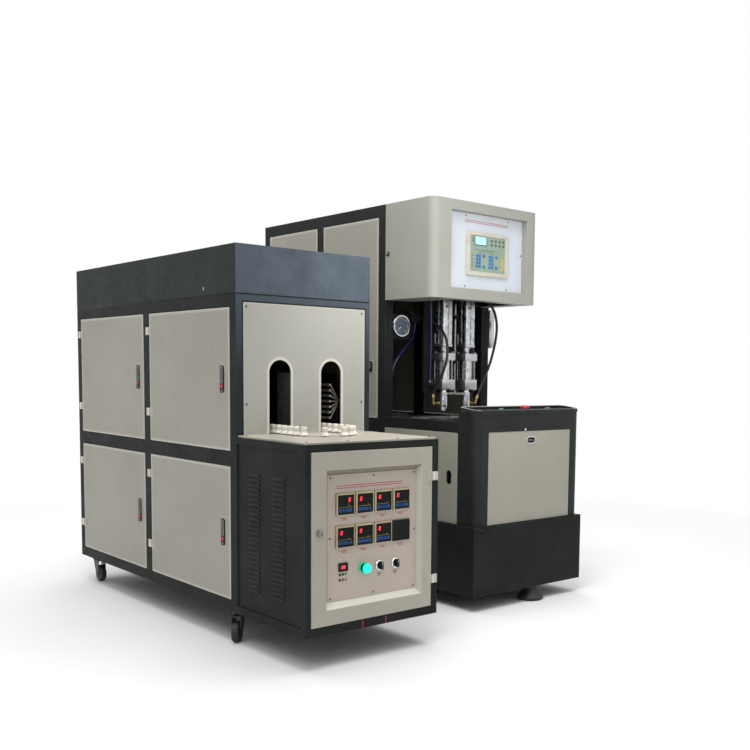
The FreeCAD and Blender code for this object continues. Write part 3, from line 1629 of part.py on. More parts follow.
# ---------------------------------------------------------------- air lines and gauges
def bend_path(points):
    """Straight runs joined by arcs that take 0.45 of the shorter run at each corner."""
    vectors = [V(*point) for point in points]
    edges = []
    start = vectors[0]
    radii = []
    for index in range(1, len(vectors) - 1):
        before, corner, after = vectors[index - 1:index + 2]
        back = (before - corner).normalize()
        ahead = (after - corner).normalize()
        setback = 0.45 * min((before - corner).Length, (after - corner).Length)
        turn = math.pi - back.getAngle(ahead)
        radius = setback / math.tan(turn / 2.0)
        radii.append(round(radius))
        first = corner + back * setback
        last = corner + ahead * setback
        bisector = (back + ahead).normalize()
        middle = corner + bisector * (radius / math.cos(turn / 2.0) - radius)
        edges.append(Part.LineSegment(start, first).toShape())
        edges.append(Part.Arc(first, middle, last).toShape())
        start = last
    edges.append(Part.LineSegment(start, vectors[-1]).toShape())
    return Part.Wire(edges), radii


def hose(name, points, radius):
    """Hose along a route; prints its bend radii and checks its volume."""
    path, radii = bend_path(points)
    direction = V(*points[1]) - V(*points[0])
    profile = stand(outline(ring(radius, hose_sides)), points[0], direction)
    solid = path.makePipeShell([profile], True, False)
    share = solid.Volume / (Part.Face(profile).Area * path.Length)
    print(name, "length", round(path.Length), "radii", radii, "volume share", round(share, 4))
    return solid


def from_middle(points):
    """Route in the press's own frame, from points measured across from its middle."""
    return tuple((press_centre_x + x, y, z) for x, y, z in points)


left_hose_route = from_middle((
    (-128.5, 4.0, 1215.0),
    (-122.5, -60.0, 1215.0),
    (-108.5, -135.0, 1150.0),
    (-122.5, -170.0, 1050.0),
    (-140.5, -150.0, 950.0),
    (-128.5, -110.0, 893.0),
    (-128.5, -110.0, 850.0),
))
right_hose_route = from_middle((
    (150.0, -67.0, 1325.0),
    (199.5, -80.0, 1318.0),
    (253.5, -95.0, 1282.0),
    (279.5, -100.0, 1205.0),
    (269.5, -100.0, 1115.0),
    (229.5, -103.0, 1005.0),
    (183.5, -107.0, 935.0),
    (153.7, -110.0, 886.2),
    (136.9, -110.0, 849.4),
))
left_tube_route = from_middle((
    (-140.5, -100.0, 1300.0),
    (-134.5, -100.0, 1150.0),
    (-138.5, -102.0, 1040.0),
    (-140.5, -100.0, 925.0),
))
right_tube_route = from_middle((
    (121.5, -100.0, 1300.0),
    (125.5, -102.0, 1180.0),
    (121.5, -100.0, 1046.0),
))
bay_tube_route = (
    (54.0, 12.0, 968.0),
    (54.0, 12.0, 1012.0),
    (108.0, 14.0, 1062.0),
    (166.0, 18.0, 1106.0),
    (192.0, 22.0, 1150.0),
    (192.0, 22.0, 1195.0),
)


def air_tubes():
    """Blue air tubes: two uprights beside the cylinders and one across the bay."""
    routes = (left_tube_route, right_tube_route, bay_tube_route)
    return group([hose("tube", route, tube_r) for route in routes])


def pressure_gauge():
    """Dial gauge with its mounting plate on the front post."""
    x, z = gauge_x, head_low_z - gauge_drop
    left, low, right, high = gauge_plate_sides
    plate = block(x - left, -sheet, z - low, x + right, 0.0, z + high)
    front = -sheet - gauge_thickness
    case = bar(gauge_r, (x, front, z), (x, -sheet, z), wheel_sides)
    dial = bar(gauge_r - gauge_rim, (x, front - 1, z), (x, front + gauge_face_sink, z), wheel_sides)
    return fuse([plate, case.cut(dial)])


def air_filter():
    """Air filter on the right post: bowl under a square head."""
    x = filter_x
    half = filter_bowl_r
    bowl = bar(filter_bowl_r, (x, filter_y, filter_low_z), (x, filter_y, filter_bowl_top_z), medium_sides)
    head = block(press_width, filter_y - half, filter_bowl_top_z, x + half, filter_y + half, filter_top_z)
    return fuse([bowl, head])


def e_stop():
    """Emergency stop: mushroom head on a stem."""
    x, y = estop_place
    floor = tray_top_z - tray_recess
    low = floor + collar_height + button_travel + control_play
    stem = bar(estop_stem_r, (x, y, floor + button_travel + control_play), (x, y, low))
    radii = (estop_r, estop_r, estop_r - estop_bevel)
    heights = (0.0, estop_head - estop_bevel, estop_head)
    return fuse([stem, taper(radii, heights, (x, y, low), wheel_sides)])


def hand_button(place):
    """Round push button of the two-hand control."""
    x, y = place
    low = tray_top_z - tray_recess + hand_travel + control_play
    return bar(hand_button_r, (x, y, low), (x, y, low + hand_button_height))


def main():
    """Builds every sub-part and writes it."""
    os.makedirs("parts", exist_ok=True)
    divider_back_y = divider_front_y + divider_depth
    rear_post_y = heater_length - rear_post_depth
    export("heater_frame", heater_frame())
    export("heater_hood", heater_hood())
    export("fixed_panels", fixed_panels())
    export("control_box_panels", control_box_panels())
    export("arch_panel", arch_panel())
    export("shelf_plate", shelf_plate())
    export("conveyor_chain", conveyor_chain())
    export("preform_holders", preform_holders())
    export("chain_drive", chain_drive())
    export("lamp_reflectors", lamp_reflectors())
    export("heat_lamps", heat_lamps())
    export("door_hinges", door_hinges())
    export("heater_door_upper_front", heater_door(heater_post_depth, divider_front_y, True))
    export("heater_door_upper_rear", heater_door(divider_back_y, rear_post_y, True))
    export("heater_door_lower_front", heater_door(heater_post_depth, divider_front_y, False))
    export("heater_door_lower_rear", heater_door(divider_back_y, rear_post_y, False))
    export("control_door", control_door())
    export("control_plate", control_plate())
    export("panel_meters", panel_meters())
    export("panel_fittings", panel_fittings())
    export("lamp_button", lamp_button())
    export("selector_left", selector(selector_places[0]))
    export("selector_right", selector(selector_places[1]))
    export("door_knob", door_knob())
    names = ("front_left", "front_right", "rear_left", "rear_right")
    for name, (x, y), heading in zip(names, caster_places(), caster_headings):
        export("caster_fork_" + name, caster_fork(x, y, heading))
        export("caster_wheel_" + name, caster_wheel(x, y, heading))
    export("press_frame", at_press(press_frame()))
    export("base_skirt", at_press(base_skirt()))
    export("levelling_feet", at_press(levelling_feet()))
    export("console_cabinet", at_press(console_cabinet()))
    export("front_access_panel", at_press(front_access_panel()))
    export("side_access_panel", at_press(side_access_panel()))
    front_edge, rear_edge = press_door_edges()
    export("press_door_front", at_press(press_door(front_edge)))
    export("press_door_rear", at_press(press_door(rear_edge)))
    export("head_cover", at_press(head_cover()))
    export("head_plate", at_press(head_plate()))
    export("controller", at_press(controller()))
    export("cylinder_bracket", at_press(cylinder_bracket()))
    export("stretch_cylinders", at_press(group([stretch_cylinder(x) for x in blow_places])))
    export("seal_cylinders", at_press(group([seal_cylinder(x) for x in blow_places])))
    export("blow_nozzles", at_press(blow_nozzles()))
    export("stretch_rods", at_press(stretch_rods()))
    export("clamp_frame", at_press(group([clamp_frame(), clamp_cylinder()])))
    export("moving_platen", at_press(moving_platen()))
    export("mould_front", at_press(mould_front()))
    export("mould_rear", at_press(mould_rear()))
    export("air_hose_left", at_press(hose("left hose", left_hose_route, hose_r)))
    export("air_hose_right", at_press(hose("right hose", right_hose_route, hose_r)))
    export("air_tubes", at_press(air_tubes()))
    export("pressure_gauge", at_press(pressure_gauge()))
    export("air_filter", at_press(air_filter()))
    export("e_stop", at_press(e_stop()))
    export("hand_button_left", at_press(hand_button(hand_button_places[0])))
    export("hand_button_right", at_press(hand_button(hand_button_places[1])))
    print("origin in the layout frame", round(origin_x, 3), round(origin_y, 3))


main()
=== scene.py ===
"""Looks of the stretch blow moulding machine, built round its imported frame.

Points are written in layout millimetres, as in the part's own source: X = 0 on the heating
cabinet's left face, Y = 0 on the front face of its tall part, Z = 0 on the floor.
"""

import json
import math
from itertools import product

import bmesh
import bpy
from mathutils import Matrix, Vector

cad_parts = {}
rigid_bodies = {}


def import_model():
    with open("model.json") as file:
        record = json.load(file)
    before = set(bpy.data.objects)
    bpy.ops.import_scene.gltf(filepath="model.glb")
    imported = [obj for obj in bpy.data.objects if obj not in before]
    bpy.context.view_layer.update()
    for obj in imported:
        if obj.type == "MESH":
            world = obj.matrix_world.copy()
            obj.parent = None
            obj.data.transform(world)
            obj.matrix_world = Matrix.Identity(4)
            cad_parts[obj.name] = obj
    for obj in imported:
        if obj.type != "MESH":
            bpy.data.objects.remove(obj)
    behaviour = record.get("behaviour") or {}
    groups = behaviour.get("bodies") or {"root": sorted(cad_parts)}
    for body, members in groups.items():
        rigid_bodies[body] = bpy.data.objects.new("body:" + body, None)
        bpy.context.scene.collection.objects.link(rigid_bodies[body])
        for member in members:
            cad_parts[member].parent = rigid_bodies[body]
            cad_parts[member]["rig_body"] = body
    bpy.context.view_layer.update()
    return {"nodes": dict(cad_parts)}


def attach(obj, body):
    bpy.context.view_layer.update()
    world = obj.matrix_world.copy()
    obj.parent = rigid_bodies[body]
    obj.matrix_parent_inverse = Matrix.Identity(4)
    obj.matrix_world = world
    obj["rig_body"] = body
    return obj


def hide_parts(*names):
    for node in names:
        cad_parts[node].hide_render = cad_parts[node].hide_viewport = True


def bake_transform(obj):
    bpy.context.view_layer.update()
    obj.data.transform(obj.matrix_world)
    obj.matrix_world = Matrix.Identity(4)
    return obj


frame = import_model()

ORIGIN = Vector((811.0585, 492, 0))  # the row frame's origin in layout millimetres
PRESS = Vector((960, 398, 0))  # the press's own origin in layout millimetres
MM = 0.001
MACHINE = "machine"
X, Y, Z = Vector((1, 0, 0)), Vector((0, 1, 0)), Vector((0, 0, 1))


def row(point):
    """Layout millimetres to the row frame in metres."""
    return (Vector(point) - ORIGIN) * MM


def at_press(x, y, z):
    """Point given in the press's own millimetres."""
    return Vector((x, y, z)) + PRESS


def put(name, data):
    """New object in the scene for a mesh, curve, lamp or camera."""
    made = bpy.data.objects.new(name, data)
    bpy.context.scene.collection.objects.link(made)
    return made


# ---------------------------------------------------------------- materials
def linear(tone):
    """Tone of three display values, 0 to 255, as linear RGBA; one of four values is linear already."""
    if len(tone) == 4:
        return tone
    return (*(((c / 255 + 0.055) / 1.055) ** 2.4 if c > 10 else c / 255 / 12.92 for c in tone), 1)


def add_node(tree, kind, inputs=None, **settings):
    """New shader node; inputs gives a socket its value or the socket that feeds it."""
    made = tree.nodes.new(kind)
    for key, value in settings.items():
        setattr(made, key, value)
    for socket, value in (inputs or {}).items():
        if isinstance(value, bpy.types.NodeSocket):
            tree.links.new(value, made.inputs[socket])
        else:
            made.inputs[socket].default_value = value
    return made


class Graph:
    """Principled material with helpers for its procedural detail."""

    def __init__(self, name, base, rough=0.5, metal=0):
        self.material = bpy.data.materials.new(name)
        self.material.use_nodes = True
        self.tree = self.material.node_tree
        self.shader = self.tree.nodes["Principled BSDF"]
        self.set("Base Color", linear(base))
        self.set("Roughness", rough)
        self.set("Metallic", metal)
        self.place = self.node("ShaderNodeTexCoord").outputs["Object"]

    def set(self, socket, value):
        self.shader.inputs[socket].default_value = value

    def node(self, kind, inputs=None, **settings):
        return add_node(self.tree, kind, inputs, **settings)

    def to_shader(self, source, socket):
        self.tree.links.new(source, self.shader.inputs[socket])

    def stretched(self, scale):
        """Object coordinates scaled by three factors."""
        return self.node("ShaderNodeMapping", {"Scale": scale, "Vector": self.place}).outputs["Vector"]

    def noise(self, scale, detail=3, vector=None):
        inputs = {"Scale": scale, "Detail": detail, "Vector": vector or self.place}
        return self.node("ShaderNodeTexNoise", inputs).outputs["Fac"]

    def spread(self, source, low, high, start=0, end=1):
        """Clamped map of source from low..high to start..end."""
        inputs = {"Value": source, "From Min": low, "From Max": high, "To Min": start, "To Max": end}
        return self.node("ShaderNodeMapRange", inputs).outputs["Result"]

    def maths(self, operation, first, second):
        return self.node("ShaderNodeMath", {0: first, 1: second}, operation=operation).outputs[0]

    def times(self, first, second):
        return self.maths("MULTIPLY", first, second)

    def blend(self, factor, first, second):
        """Mix of two colours, each a tone or a socket."""
        first, second = (linear(c) if isinstance(c, tuple) else c for c in (first, second))
        return self.node("ShaderNodeMix", {0: factor, 6: first, 7: second}, data_type="RGBA").outputs[2]

    def edges(self, radius):
        """1 near sharp edges, 0 on flats."""
        rounded = self.node("ShaderNodeBevel", {"Radius": radius}, samples=4).outputs["Normal"]
        true = self.node("ShaderNodeNewGeometry").outputs["Normal"]
        dot = self.node("ShaderNodeVectorMath", {0: rounded, 1: true}, operation="DOT_PRODUCT")
        return self.spread(dot.outputs["Value"], 0.98, 0.8)

    def along(self, source, axis, low, high):
        """One axis of a vector, 0, 1 or 2, spread from low to high."""
        return self.spread(self.node("ShaderNodeSeparateXYZ", {0: source}).outputs[axis], low, high)

    def facing(self, axis, low, high):
        """How far the surface faces along an axis."""
        return self.along(self.node("ShaderNodeNewGeometry").outputs["Normal"], axis, low, high)

    def turned_to(self, axis, low, high):
        """How far the surface faces along an axis of its own object, whatever its pose."""
        return self.along(self.node("ShaderNodeTexCoord").outputs["Normal"], axis, low, high)

    def bump(self, source, strength, distance):
        inputs = {"Strength": strength, "Distance": distance, "Height": source}
        self.to_shader(self.node("ShaderNodeBump", inputs).outputs["Normal"], "Normal")

    def rough(self, source, low, high):
        self.to_shader(self.spread(source, 0.3, 0.7, low, high), "Roughness")


def node_start(name):
    """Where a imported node's object coordinates start, in the row frame."""
    return frame["nodes"][name].matrix_world.translation


def charcoal_paint(name, dark, light, front=None, behind=None, upper=None):
    """Textured powder coat; front paints a sheen, a painted reflection, on what faces forward behind a depth,
    and upper makes that painted sheen paler on what stands high.
    """
    g = Graph(name, dark, 0.5)
    g.set("Specular IOR Level", 0.06)
    tone = g.blend(g.spread(g.noise(5, 4), 0.35, 0.7), dark, light)
    if front:
        mottle = g.maths("ADD", g.times(g.noise(260, 2), 0.6), g.times(g.noise(9, 3), 0.4))
        # painted sheen: the hammered texture in the front tones, which stand for light reflected off the
        # paint
        hammered_sheen = g.blend(g.spread(mottle, 0.36, 0.64), *front)
        if upper:
            heights, tint = upper
            # the painted sheen grows paler on what stands high
            hammered_sheen = g.blend(g.along(g.place, 2, *heights), hammered_sheen, tint)
        forward = g.facing(1, -0.5, -0.9)
        if behind is not None:
            forward = g.times(forward, g.along(g.place, 1, behind - 0.01, behind))
        # lay the painted sheen on faces turned forward
        tone = g.blend(forward, tone, hammered_sheen)
    rubbed = g.times(g.edges(0.0018), g.spread(g.noise(35), 0.42, 0.62))
    g.to_shader(g.blend(g.times(rubbed, 0.45), tone, (112, 114, 112)), "Base Color")
    g.rough(g.noise(60), 0.40, 0.56)
    g.bump(g.noise(620, 2), 0.12, 0.0006)
    return g.material


def panel_paint(name, base, shade, rim, proud=None, slope_shading=(), fold=0.004):
    """Satin enamel with a painted highlight, the rim tone, on folded edges and the rim tone in front of a
    depth; the slope tones paint light and shade on what faces along an axis.
    """
    g = Graph(name, base, 0.42)
    g.set("Specular IOR Level", 0.3)
    tone = g.blend(g.spread(g.noise(2.2, 5), 0.35, 0.68), base, shade)
    streak = g.noise(6, 4, g.stretched((7, 7, 0.6)))
    tone = g.blend(g.times(g.spread(streak, 0.52, 0.75), 0.05), tone, (120, 116, 104))
    # painted highlight: the rim tone on folded edges
    tone = g.blend(g.times(g.edges(fold), 0.8), tone, rim)
    if proud is not None:
        tone = g.blend(g.along(g.place, 1, proud, proud - 0.0006), tone, rim)
    # painted light and shade: a tone for each way a face turns
    for axis, way, tint in slope_shading:
        tone = g.blend(g.turned_to(axis, 0.25 * way, 0.5 * way), tone, tint)
    g.to_shader(tone, "Base Color")
    g.rough(g.noise(40), 0.36, 0.50)
    g.bump(g.noise(260, 2), 0.04, 0.0006)
    return g.material


def worn_metal(name, base, shade, rough=(0.22, 0.42), stretch=(1, 1, 1), scale=120, depth=0.08):
    """Bare metal with machining lines or casting grain."""
    g = Graph(name, base, rough[0], 1)
    lines = g.noise(scale, 4, g.stretched(stretch))
    tone = g.blend(g.spread(lines, 0.3, 0.7), shade, base)
    g.to_shader(g.blend(g.spread(g.noise(14, 4), 0.55, 0.8, 0, 0.5), tone, shade), "Base Color")
    g.rough(lines, *rough)
    g.bump(lines, depth, 0.0004)
    return g.material


def moulded(name, base, shade, rough=0.4, glow=None, grain=300, depth=0.06, shine=0.5):
    """Moulded plastic or rubber with a fine skin; glow is the tone and strength of its light."""
    g = Graph(name, base, rough)
    g.set("Specular IOR Level", shine)
    g.to_shader(g.blend(g.spread(g.noise(24, 4), 0.4, 0.75), base, shade), "Base Color")
    g.rough(g.noise(90), rough - 0.06, rough + 0.08)
    g.bump(g.noise(grain, 2), depth, 0.0004)
    if glow:
        g.set("Emission Color", linear(glow[0]))
        g.set("Emission Strength", glow[1])
    return g.material


def quartz():
    """Clear quartz tube with a faint inner bloom."""
    clear = (226, 224, 216)
    g = Graph("quartz", clear, 0.12)
    g.set("Transmission Weight", 0.55)
    g.set("IOR", 1.46)
    g.to_shader(g.blend(g.spread(g.noise(60), 0.4, 0.7), clear, (196, 186, 168)), "Base Color")
    g.rough(g.noise(80), 0.10, 0.24)
    return g.material


def tray_paint(dark, light, rim):
    """Charcoal coat of the console, pale above the rim of the tray: wear to metal and a painted reflection on
    the rim's top.
    """
    g = Graph("tray_paint", dark, 0.5)
    g.set("Specular IOR Level", 0.16)
    tone = g.blend(g.spread(g.noise(5, 4), 0.35, 0.7), dark, light)
    # pale rim: wear together with a painted reflection
    wear_and_sheen = g.times(g.along(g.place, 2, rim - 0.0006, rim), g.spread(g.noise(26, 5), 0.36, 0.56, 0.5, 1))
    scraped = g.times(g.edges(0.003), g.spread(g.noise(30), 0.4, 0.6))
    tone = g.blend(g.times(scraped, 0.4), tone, (120, 122, 120))
    g.to_shader(g.blend(wear_and_sheen, tone, (150, 150, 146)), "Base Color")
    g.rough(g.noise(60), 0.38, 0.54)
    g.bump(g.noise(620, 2), 0.12, 0.0006)
    return g.material


CHARCOAL = ((31, 34, 33), (41, 44, 43))
# painted sheen: paler bluish tones that stand for light reflected off forward faces of the hood and heater
HOOD_FRONT_SHEEN = ((68, 76, 84), (94, 103, 112))
HEATER_FRONT_SHEEN = ((34, 39, 41), (50, 56, 60))
GREY, GREY_SHADE = (166, 163, 151), (157, 153, 141)
# painted light and shade on the door's window slopes: paler facing up and to the left, darker facing down
DOOR_SLOPE_SHADING = ((2, 1, (218, 214, 203)), (2, -1, (132, 126, 116)), (0, -1, (200, 196, 184)))
HEATER_START = node_start("heater_frame")
HEATER_DEPTH = -0.52 - HEATER_START.y
# the heater's painted sheen grows paler towards the top
HEATER_UPPER_SHEEN = ((0.95 - HEATER_START.z, 1.24 - HEATER_START.z), (74, 83, 90))
ARCH_PROUD = -0.4926 - node_start("arch_panel").y
TRAY_RIM = 0.8176 - node_start("console_cabinet").z

frame_black = charcoal_paint("frame_black", *CHARCOAL)
heater_black = charcoal_paint("heater_black", *CHARCOAL, HEATER_FRONT_SHEEN, HEATER_DEPTH, HEATER_UPPER_SHEEN)
# the hood is charcoal paint; its bluish front is a painted sheen
hood_slate = charcoal_paint("hood_slate", (42, 47, 45), (52, 57, 54), HOOD_FRONT_SHEEN)
console_black = tray_paint(*CHARCOAL, TRAY_RIM)
panel_grey = panel_paint("panel_grey", GREY, GREY_SHADE, (222, 219, 206), fold=0.014)
flap_grey = panel_paint("flap_grey", GREY, GREY_SHADE, (206, 203, 190))
door_grey = panel_paint("door_grey", (172, 168, 155), (163, 158, 146), (208, 204, 190), slope_shading=DOOR_SLOPE_SHADING)
head_grey = panel_paint("head_grey", (162, 162, 153), (153, 153, 143), (188, 187, 178))
arch_grey = panel_paint("arch_grey", (172, 171, 163), (164, 162, 153), (208, 205, 192), ARCH_PROUD, fold=0.01)
# pale rim tone: wear together with a painted reflection
rim_wear_and_sheen = panel_paint("rim_wear_and_sheen", (150, 151, 146), (96, 98, 95), (188, 187, 180))
shelf_cream = panel_paint("shelf_cream", (192, 187, 174), (166, 161, 148), (216, 211, 198))
plate_rose = panel_paint("plate_rose", (190, 177, 166), (178, 167, 155), (206, 196, 186))
plate_white = panel_paint("plate_white", (214, 219, 226), (200, 205, 212), (220, 223, 228))
steel = worn_metal("steel", (150, 151, 150), (98, 98, 96))
zinc = worn_metal("zinc", (96, 92, 86), (52, 48, 44), (0.35, 0.55))
bright_alu = worn_metal("bright_aluminium", (228, 230, 232), (140, 143, 148), (0.18, 0.36), (1, 1, 0.3), 150)
cast_alu = worn_metal("cast_aluminium", (206, 208, 210), (160, 162, 164), (0.3, 0.45), scale=420)
mould_alu = worn_metal("mould_aluminium", (178, 180, 180), (138, 140, 140), (0.28, 0.42), (0.05, 1, 1), 300)
chrome = worn_metal("chrome", (226, 228, 230), (200, 203, 206), (0.08, 0.16), scale=60, depth=0.01)
brass = worn_metal("brass", (168, 150, 104), (116, 98, 62), (0.26, 0.42), scale=200)
# dark tone: painted shade inside the arches
shaded_reflector = worn_metal("shaded_reflector", (62, 66, 62), (36, 40, 37), (0.34, 0.5), (1, 0.1, 1), 90)
quartz_glass = quartz()
rubber = moulded("rubber", (24, 24, 24), (36, 35, 34), 0.6, grain=500, depth=0.15)
tyre = moulded("tyre", (26, 22, 20), (42, 36, 32), 0.62, grain=400, depth=0.15)
black_plastic = moulded("black_plastic", (26, 27, 28), (36, 37, 38), 0.36, shine=0.22)
black_glass = moulded("black_glass", (14, 17, 16), (20, 24, 22), 0.12, grain=100, depth=0.01, shine=0.12)
white_plastic = moulded("white_plastic", (234, 230, 220), (212, 205, 190), 0.42)
cream_plastic = moulded("cream_plastic", (200, 197, 184), (186, 181, 166))
meter_frame = moulded("meter_frame", (184, 168, 136), (160, 144, 112))
ceramic = moulded("ceramic", (112, 110, 102), (88, 86, 78), 0.55)
membrane = moulded("membrane", (146, 164, 146), (134, 152, 136), 0.34)
key_blue = moulded("key_blue", (44, 116, 170), (36, 100, 154), 0.34)
key_navy = moulded("key_navy", (18, 62, 108), (34, 86, 140), 0.34, shine=0.2)
key_yellow = moulded("key_yellow", (214, 178, 66), (196, 160, 52), 0.34)
key_green = moulded("key_green", (40, 150, 84), (30, 132, 72), 0.34)
key_red = moulded("key_red", (196, 50, 54), (178, 40, 44), 0.34)
mark_dark = moulded("mark_dark", (66, 74, 68), (78, 86, 80), 0.5)
stripe_red = moulded("stripe_red", (176, 44, 58), (160, 36, 50), 0.45)
stop_red = moulded("stop_red", (206, 34, 28), (188, 26, 22), 0.3)
button_green = moulded("button_green", (52, 120, 92), (40, 104, 78), 0.3)
tube_blue = moulded("tube_blue", (20, 26, 84), (15, 20, 66), 0.25)
led_red = moulded("led_red", (255, 60, 80), (250, 50, 66), 0.3, ((255, 44, 66), 1.1))
led_green = moulded("led_green", (30, 110, 50), (26, 98, 44), 0.3, ((20, 130, 50), 0.25))
lcd = moulded("lcd", (176, 238, 240), (160, 228, 234), 0.25, ((160, 238, 244), 0.4))
lamp_lens = moulded("lamp_lens", (0, 232, 200), (0, 220, 188), 0.2, ((0, 240, 206), 0.6))
lamp_ring = moulded("lamp_ring", (0, 176, 124), (0, 150, 104), 0.3, ((0, 200, 140), 0.4))
dial_face = moulded("dial_face", (76, 88, 104), (58, 70, 86), 0.25)


# ---------------------------------------------------------------- pieces
def levelled(outlines, low, high, axis):
    """Corners of outlines drawn in the two other axes, at both levels along the axis."""
    across, over = [i for i in range(3) if i != axis]
    points = []
    for level, outline in product((low, high), outlines):
        for corner in outline:
            point = [0, 0, 0]
            point[axis], point[across], point[over] = level, *corner
            points.append(point)
    return points


class Shape:
    """Mesh gathered from simple solids, in layout millimetres."""

    def __init__(self, shift=(0, 0, 0)):
        self.bm = bmesh.new()
        self.shift = Vector(shift)

    def add(self, points, faces, mat=0):
        """Joins points and faces to the mesh."""
        verts = [self.bm.verts.new(Vector(p) + self.shift) for p in points]
        for face in faces:
            self.bm.faces.new([verts[i] for i in face]).material_index = mat

    def box(self, low, high, edge=0, mat=0):
        """Block between two corners, with rounded edges."""
        part = bmesh.new()
        bmesh.ops.create_cube(part, size=1.0)
        low, high = Vector(low), Vector(high)
        for vert in part.verts:
            vert.co = Vector((low[i] + (vert.co[i] + 0.5) * (high[i] - low[i]) for i in range(3)))
        if edge:
            bmesh.ops.bevel(part, geom=part.edges[:], offset=edge, segments=2, profile=0.5, affect="EDGES")
        part.verts.index_update()
        self.add([v.co for v in part.verts], [[v.index for v in f.verts] for f in part.faces], mat)
        part.free()

    def turned(self, profile, place, axis=Z, sides=32, mat=0):
        """Solid of revolution: profile holds (height along the axis, radius)."""
        axis = Vector(axis).normalized()
        across = axis.orthogonal().normalized()
        over = axis.cross(across)
        points, rings, faces = [], [], []
        for height, radius in profile:
            centre = Vector(place) + axis * height
            if radius <= 0:
                rings.append([len(points)])
                points.append(centre)
                continue
            rings.append(list(range(len(points), len(points) + sides)))
            for step in range(sides):
                angle = 2 * math.pi * step / sides
                points.append(centre + (across * math.cos(angle) + over * math.sin(angle)) * radius)
        for lower, upper in zip(rings, rings[1:]):
            for step in range(sides):
                after = (step + 1) % sides
                if len(lower) == 1:
                    faces.append((lower[0], upper[after], upper[step]))
                elif len(upper) == 1:
                    faces.append((lower[step], lower[after], upper[0]))
                else:
                    faces.append((lower[step], lower[after], upper[after], upper[step]))
        for end, turn in ((rings[0], -1), (rings[-1], 1)):
            if len(end) > 1:
                faces.append(end[::turn])
        self.add(points, faces, mat)

    def pin(self, start, end, radius, sides=16):
        """Plain round bar between two points with softened ends."""
        start, end = Vector(start), Vector(end)
        length = (end - start).length
        soft = min(radius * 0.2, length * 0.2)
        profile = ((0, radius - soft), (soft, radius), (length - soft, radius), (length, radius - soft))
        self.turned(profile, start, end - start, sides)

    def slab(self, outline, low, high, axis=2, mat=0):
        """Prism of an outline, from low to high along the axis."""
        n = len(outline)
        faces = [list(range(n)), list(range(2 * n - 1, n - 1, -1))]
        faces += [(i, (i + 1) % n, n + (i + 1) % n, n + i) for i in range(n)]
        self.add(levelled((outline,), low, high, axis), faces, mat)

    def ring_slab(self, outer, inner, low, high, axis=1, mat=0):
        """Frame between two outlines with as many corners, from low to high along the axis."""
        n = len(outer)
        faces = []
        for i in range(n):
            j = (i + 1) % n
            faces += [(i, j, n + j, n + i), (2 * n + i, 3 * n + i, 3 * n + j, 2 * n + j),
                      (i, 2 * n + i, 2 * n + j, j), (n + i, n + j, 3 * n + j, 3 * n + i)]
        self.add(levelled((outer, inner), low, high, axis), faces, mat)

    def screw(self, place, axis, radius=3.4):
        """Pan-head screw with a dark socket as its second material."""
        head = ((-0.5, radius), (1, radius), (1.9, radius * 0.8), (2.2, radius * 0.45))
        self.turned(head, place, axis, 16)
        self.turned(((2, radius * 0.44), (2.35, radius * 0.4)), place, axis, 6, 1)

    def screws(self, xs, ys, zs, axis, radius=3.4):
        """A screw at every meeting of three rows of coordinates."""
        for place in product(xs, ys, zs):
            self.screw(place, axis, radius)

    def piece(self, name, body, materials, slot, replaces=(), sharp=38):
        """Makes the object and rides it on its body; slot is not used."""
        bmesh.ops.recalc_face_normals(self.bm, faces=self.bm.faces[:])
        for vert in self.bm.verts:
            vert.co = row(vert.co)
        for face in self.bm.faces:
            face.smooth = True
        for edge in self.bm.edges:
            edge.smooth = len(edge.link_faces) == 2 and edge.calc_face_angle(0) < math.radians(sharp)
        mesh = bpy.data.meshes.new(name)
        self.bm.to_mesh(mesh)
        self.bm.free()
        for material in materials:
            mesh.materials.append(material)
        made = put(name, mesh)
        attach(made, body)
        if replaces:
            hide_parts(*replaces)
        return made


def oval(centre, width, height, steps=10):
    """Outline of a slot with round ends on its long side."""
    flip = height > width
    radius = min(width, height) / 2
    reach = abs(width - height) / 2
    points = []
    for side, start in ((1, -90), (-1, 90)):
        for step in range(steps + 1):
            angle = math.radians(start + 180 * step / steps)
            first, second = side * reach + radius * math.cos(angle), radius * math.sin(angle)
            points.append((second, first) if flip else (first, second))
    return [(centre[0] + a, centre[1] + b) for a, b in points]


def soft_rectangle(x0, z0, x1, z1, radius, steps=4):
    """Outline of a rectangle with rounded corners."""
    points = []
    for (x, z), start in (((x1, z1), 0), ((x0, z1), 90), ((x0, z0), 180), ((x1, z0), 270)):
        cx = x - radius if x == x1 else x + radius
        cz = z - radius if z == z1 else z + radius
        for step in range(steps + 1):
            angle = math.radians(start + 90 * step / steps)
            points.append((cx + radius * math.cos(angle), cz + radius * math.sin(angle)))
    return points


def around(x, z, across, up, radius, steps=2):
    """Outline of a rounded rectangle about a centre, with half its width and height."""
    return soft_rectangle(x - across, z - up, x + across, z + up, radius, steps)


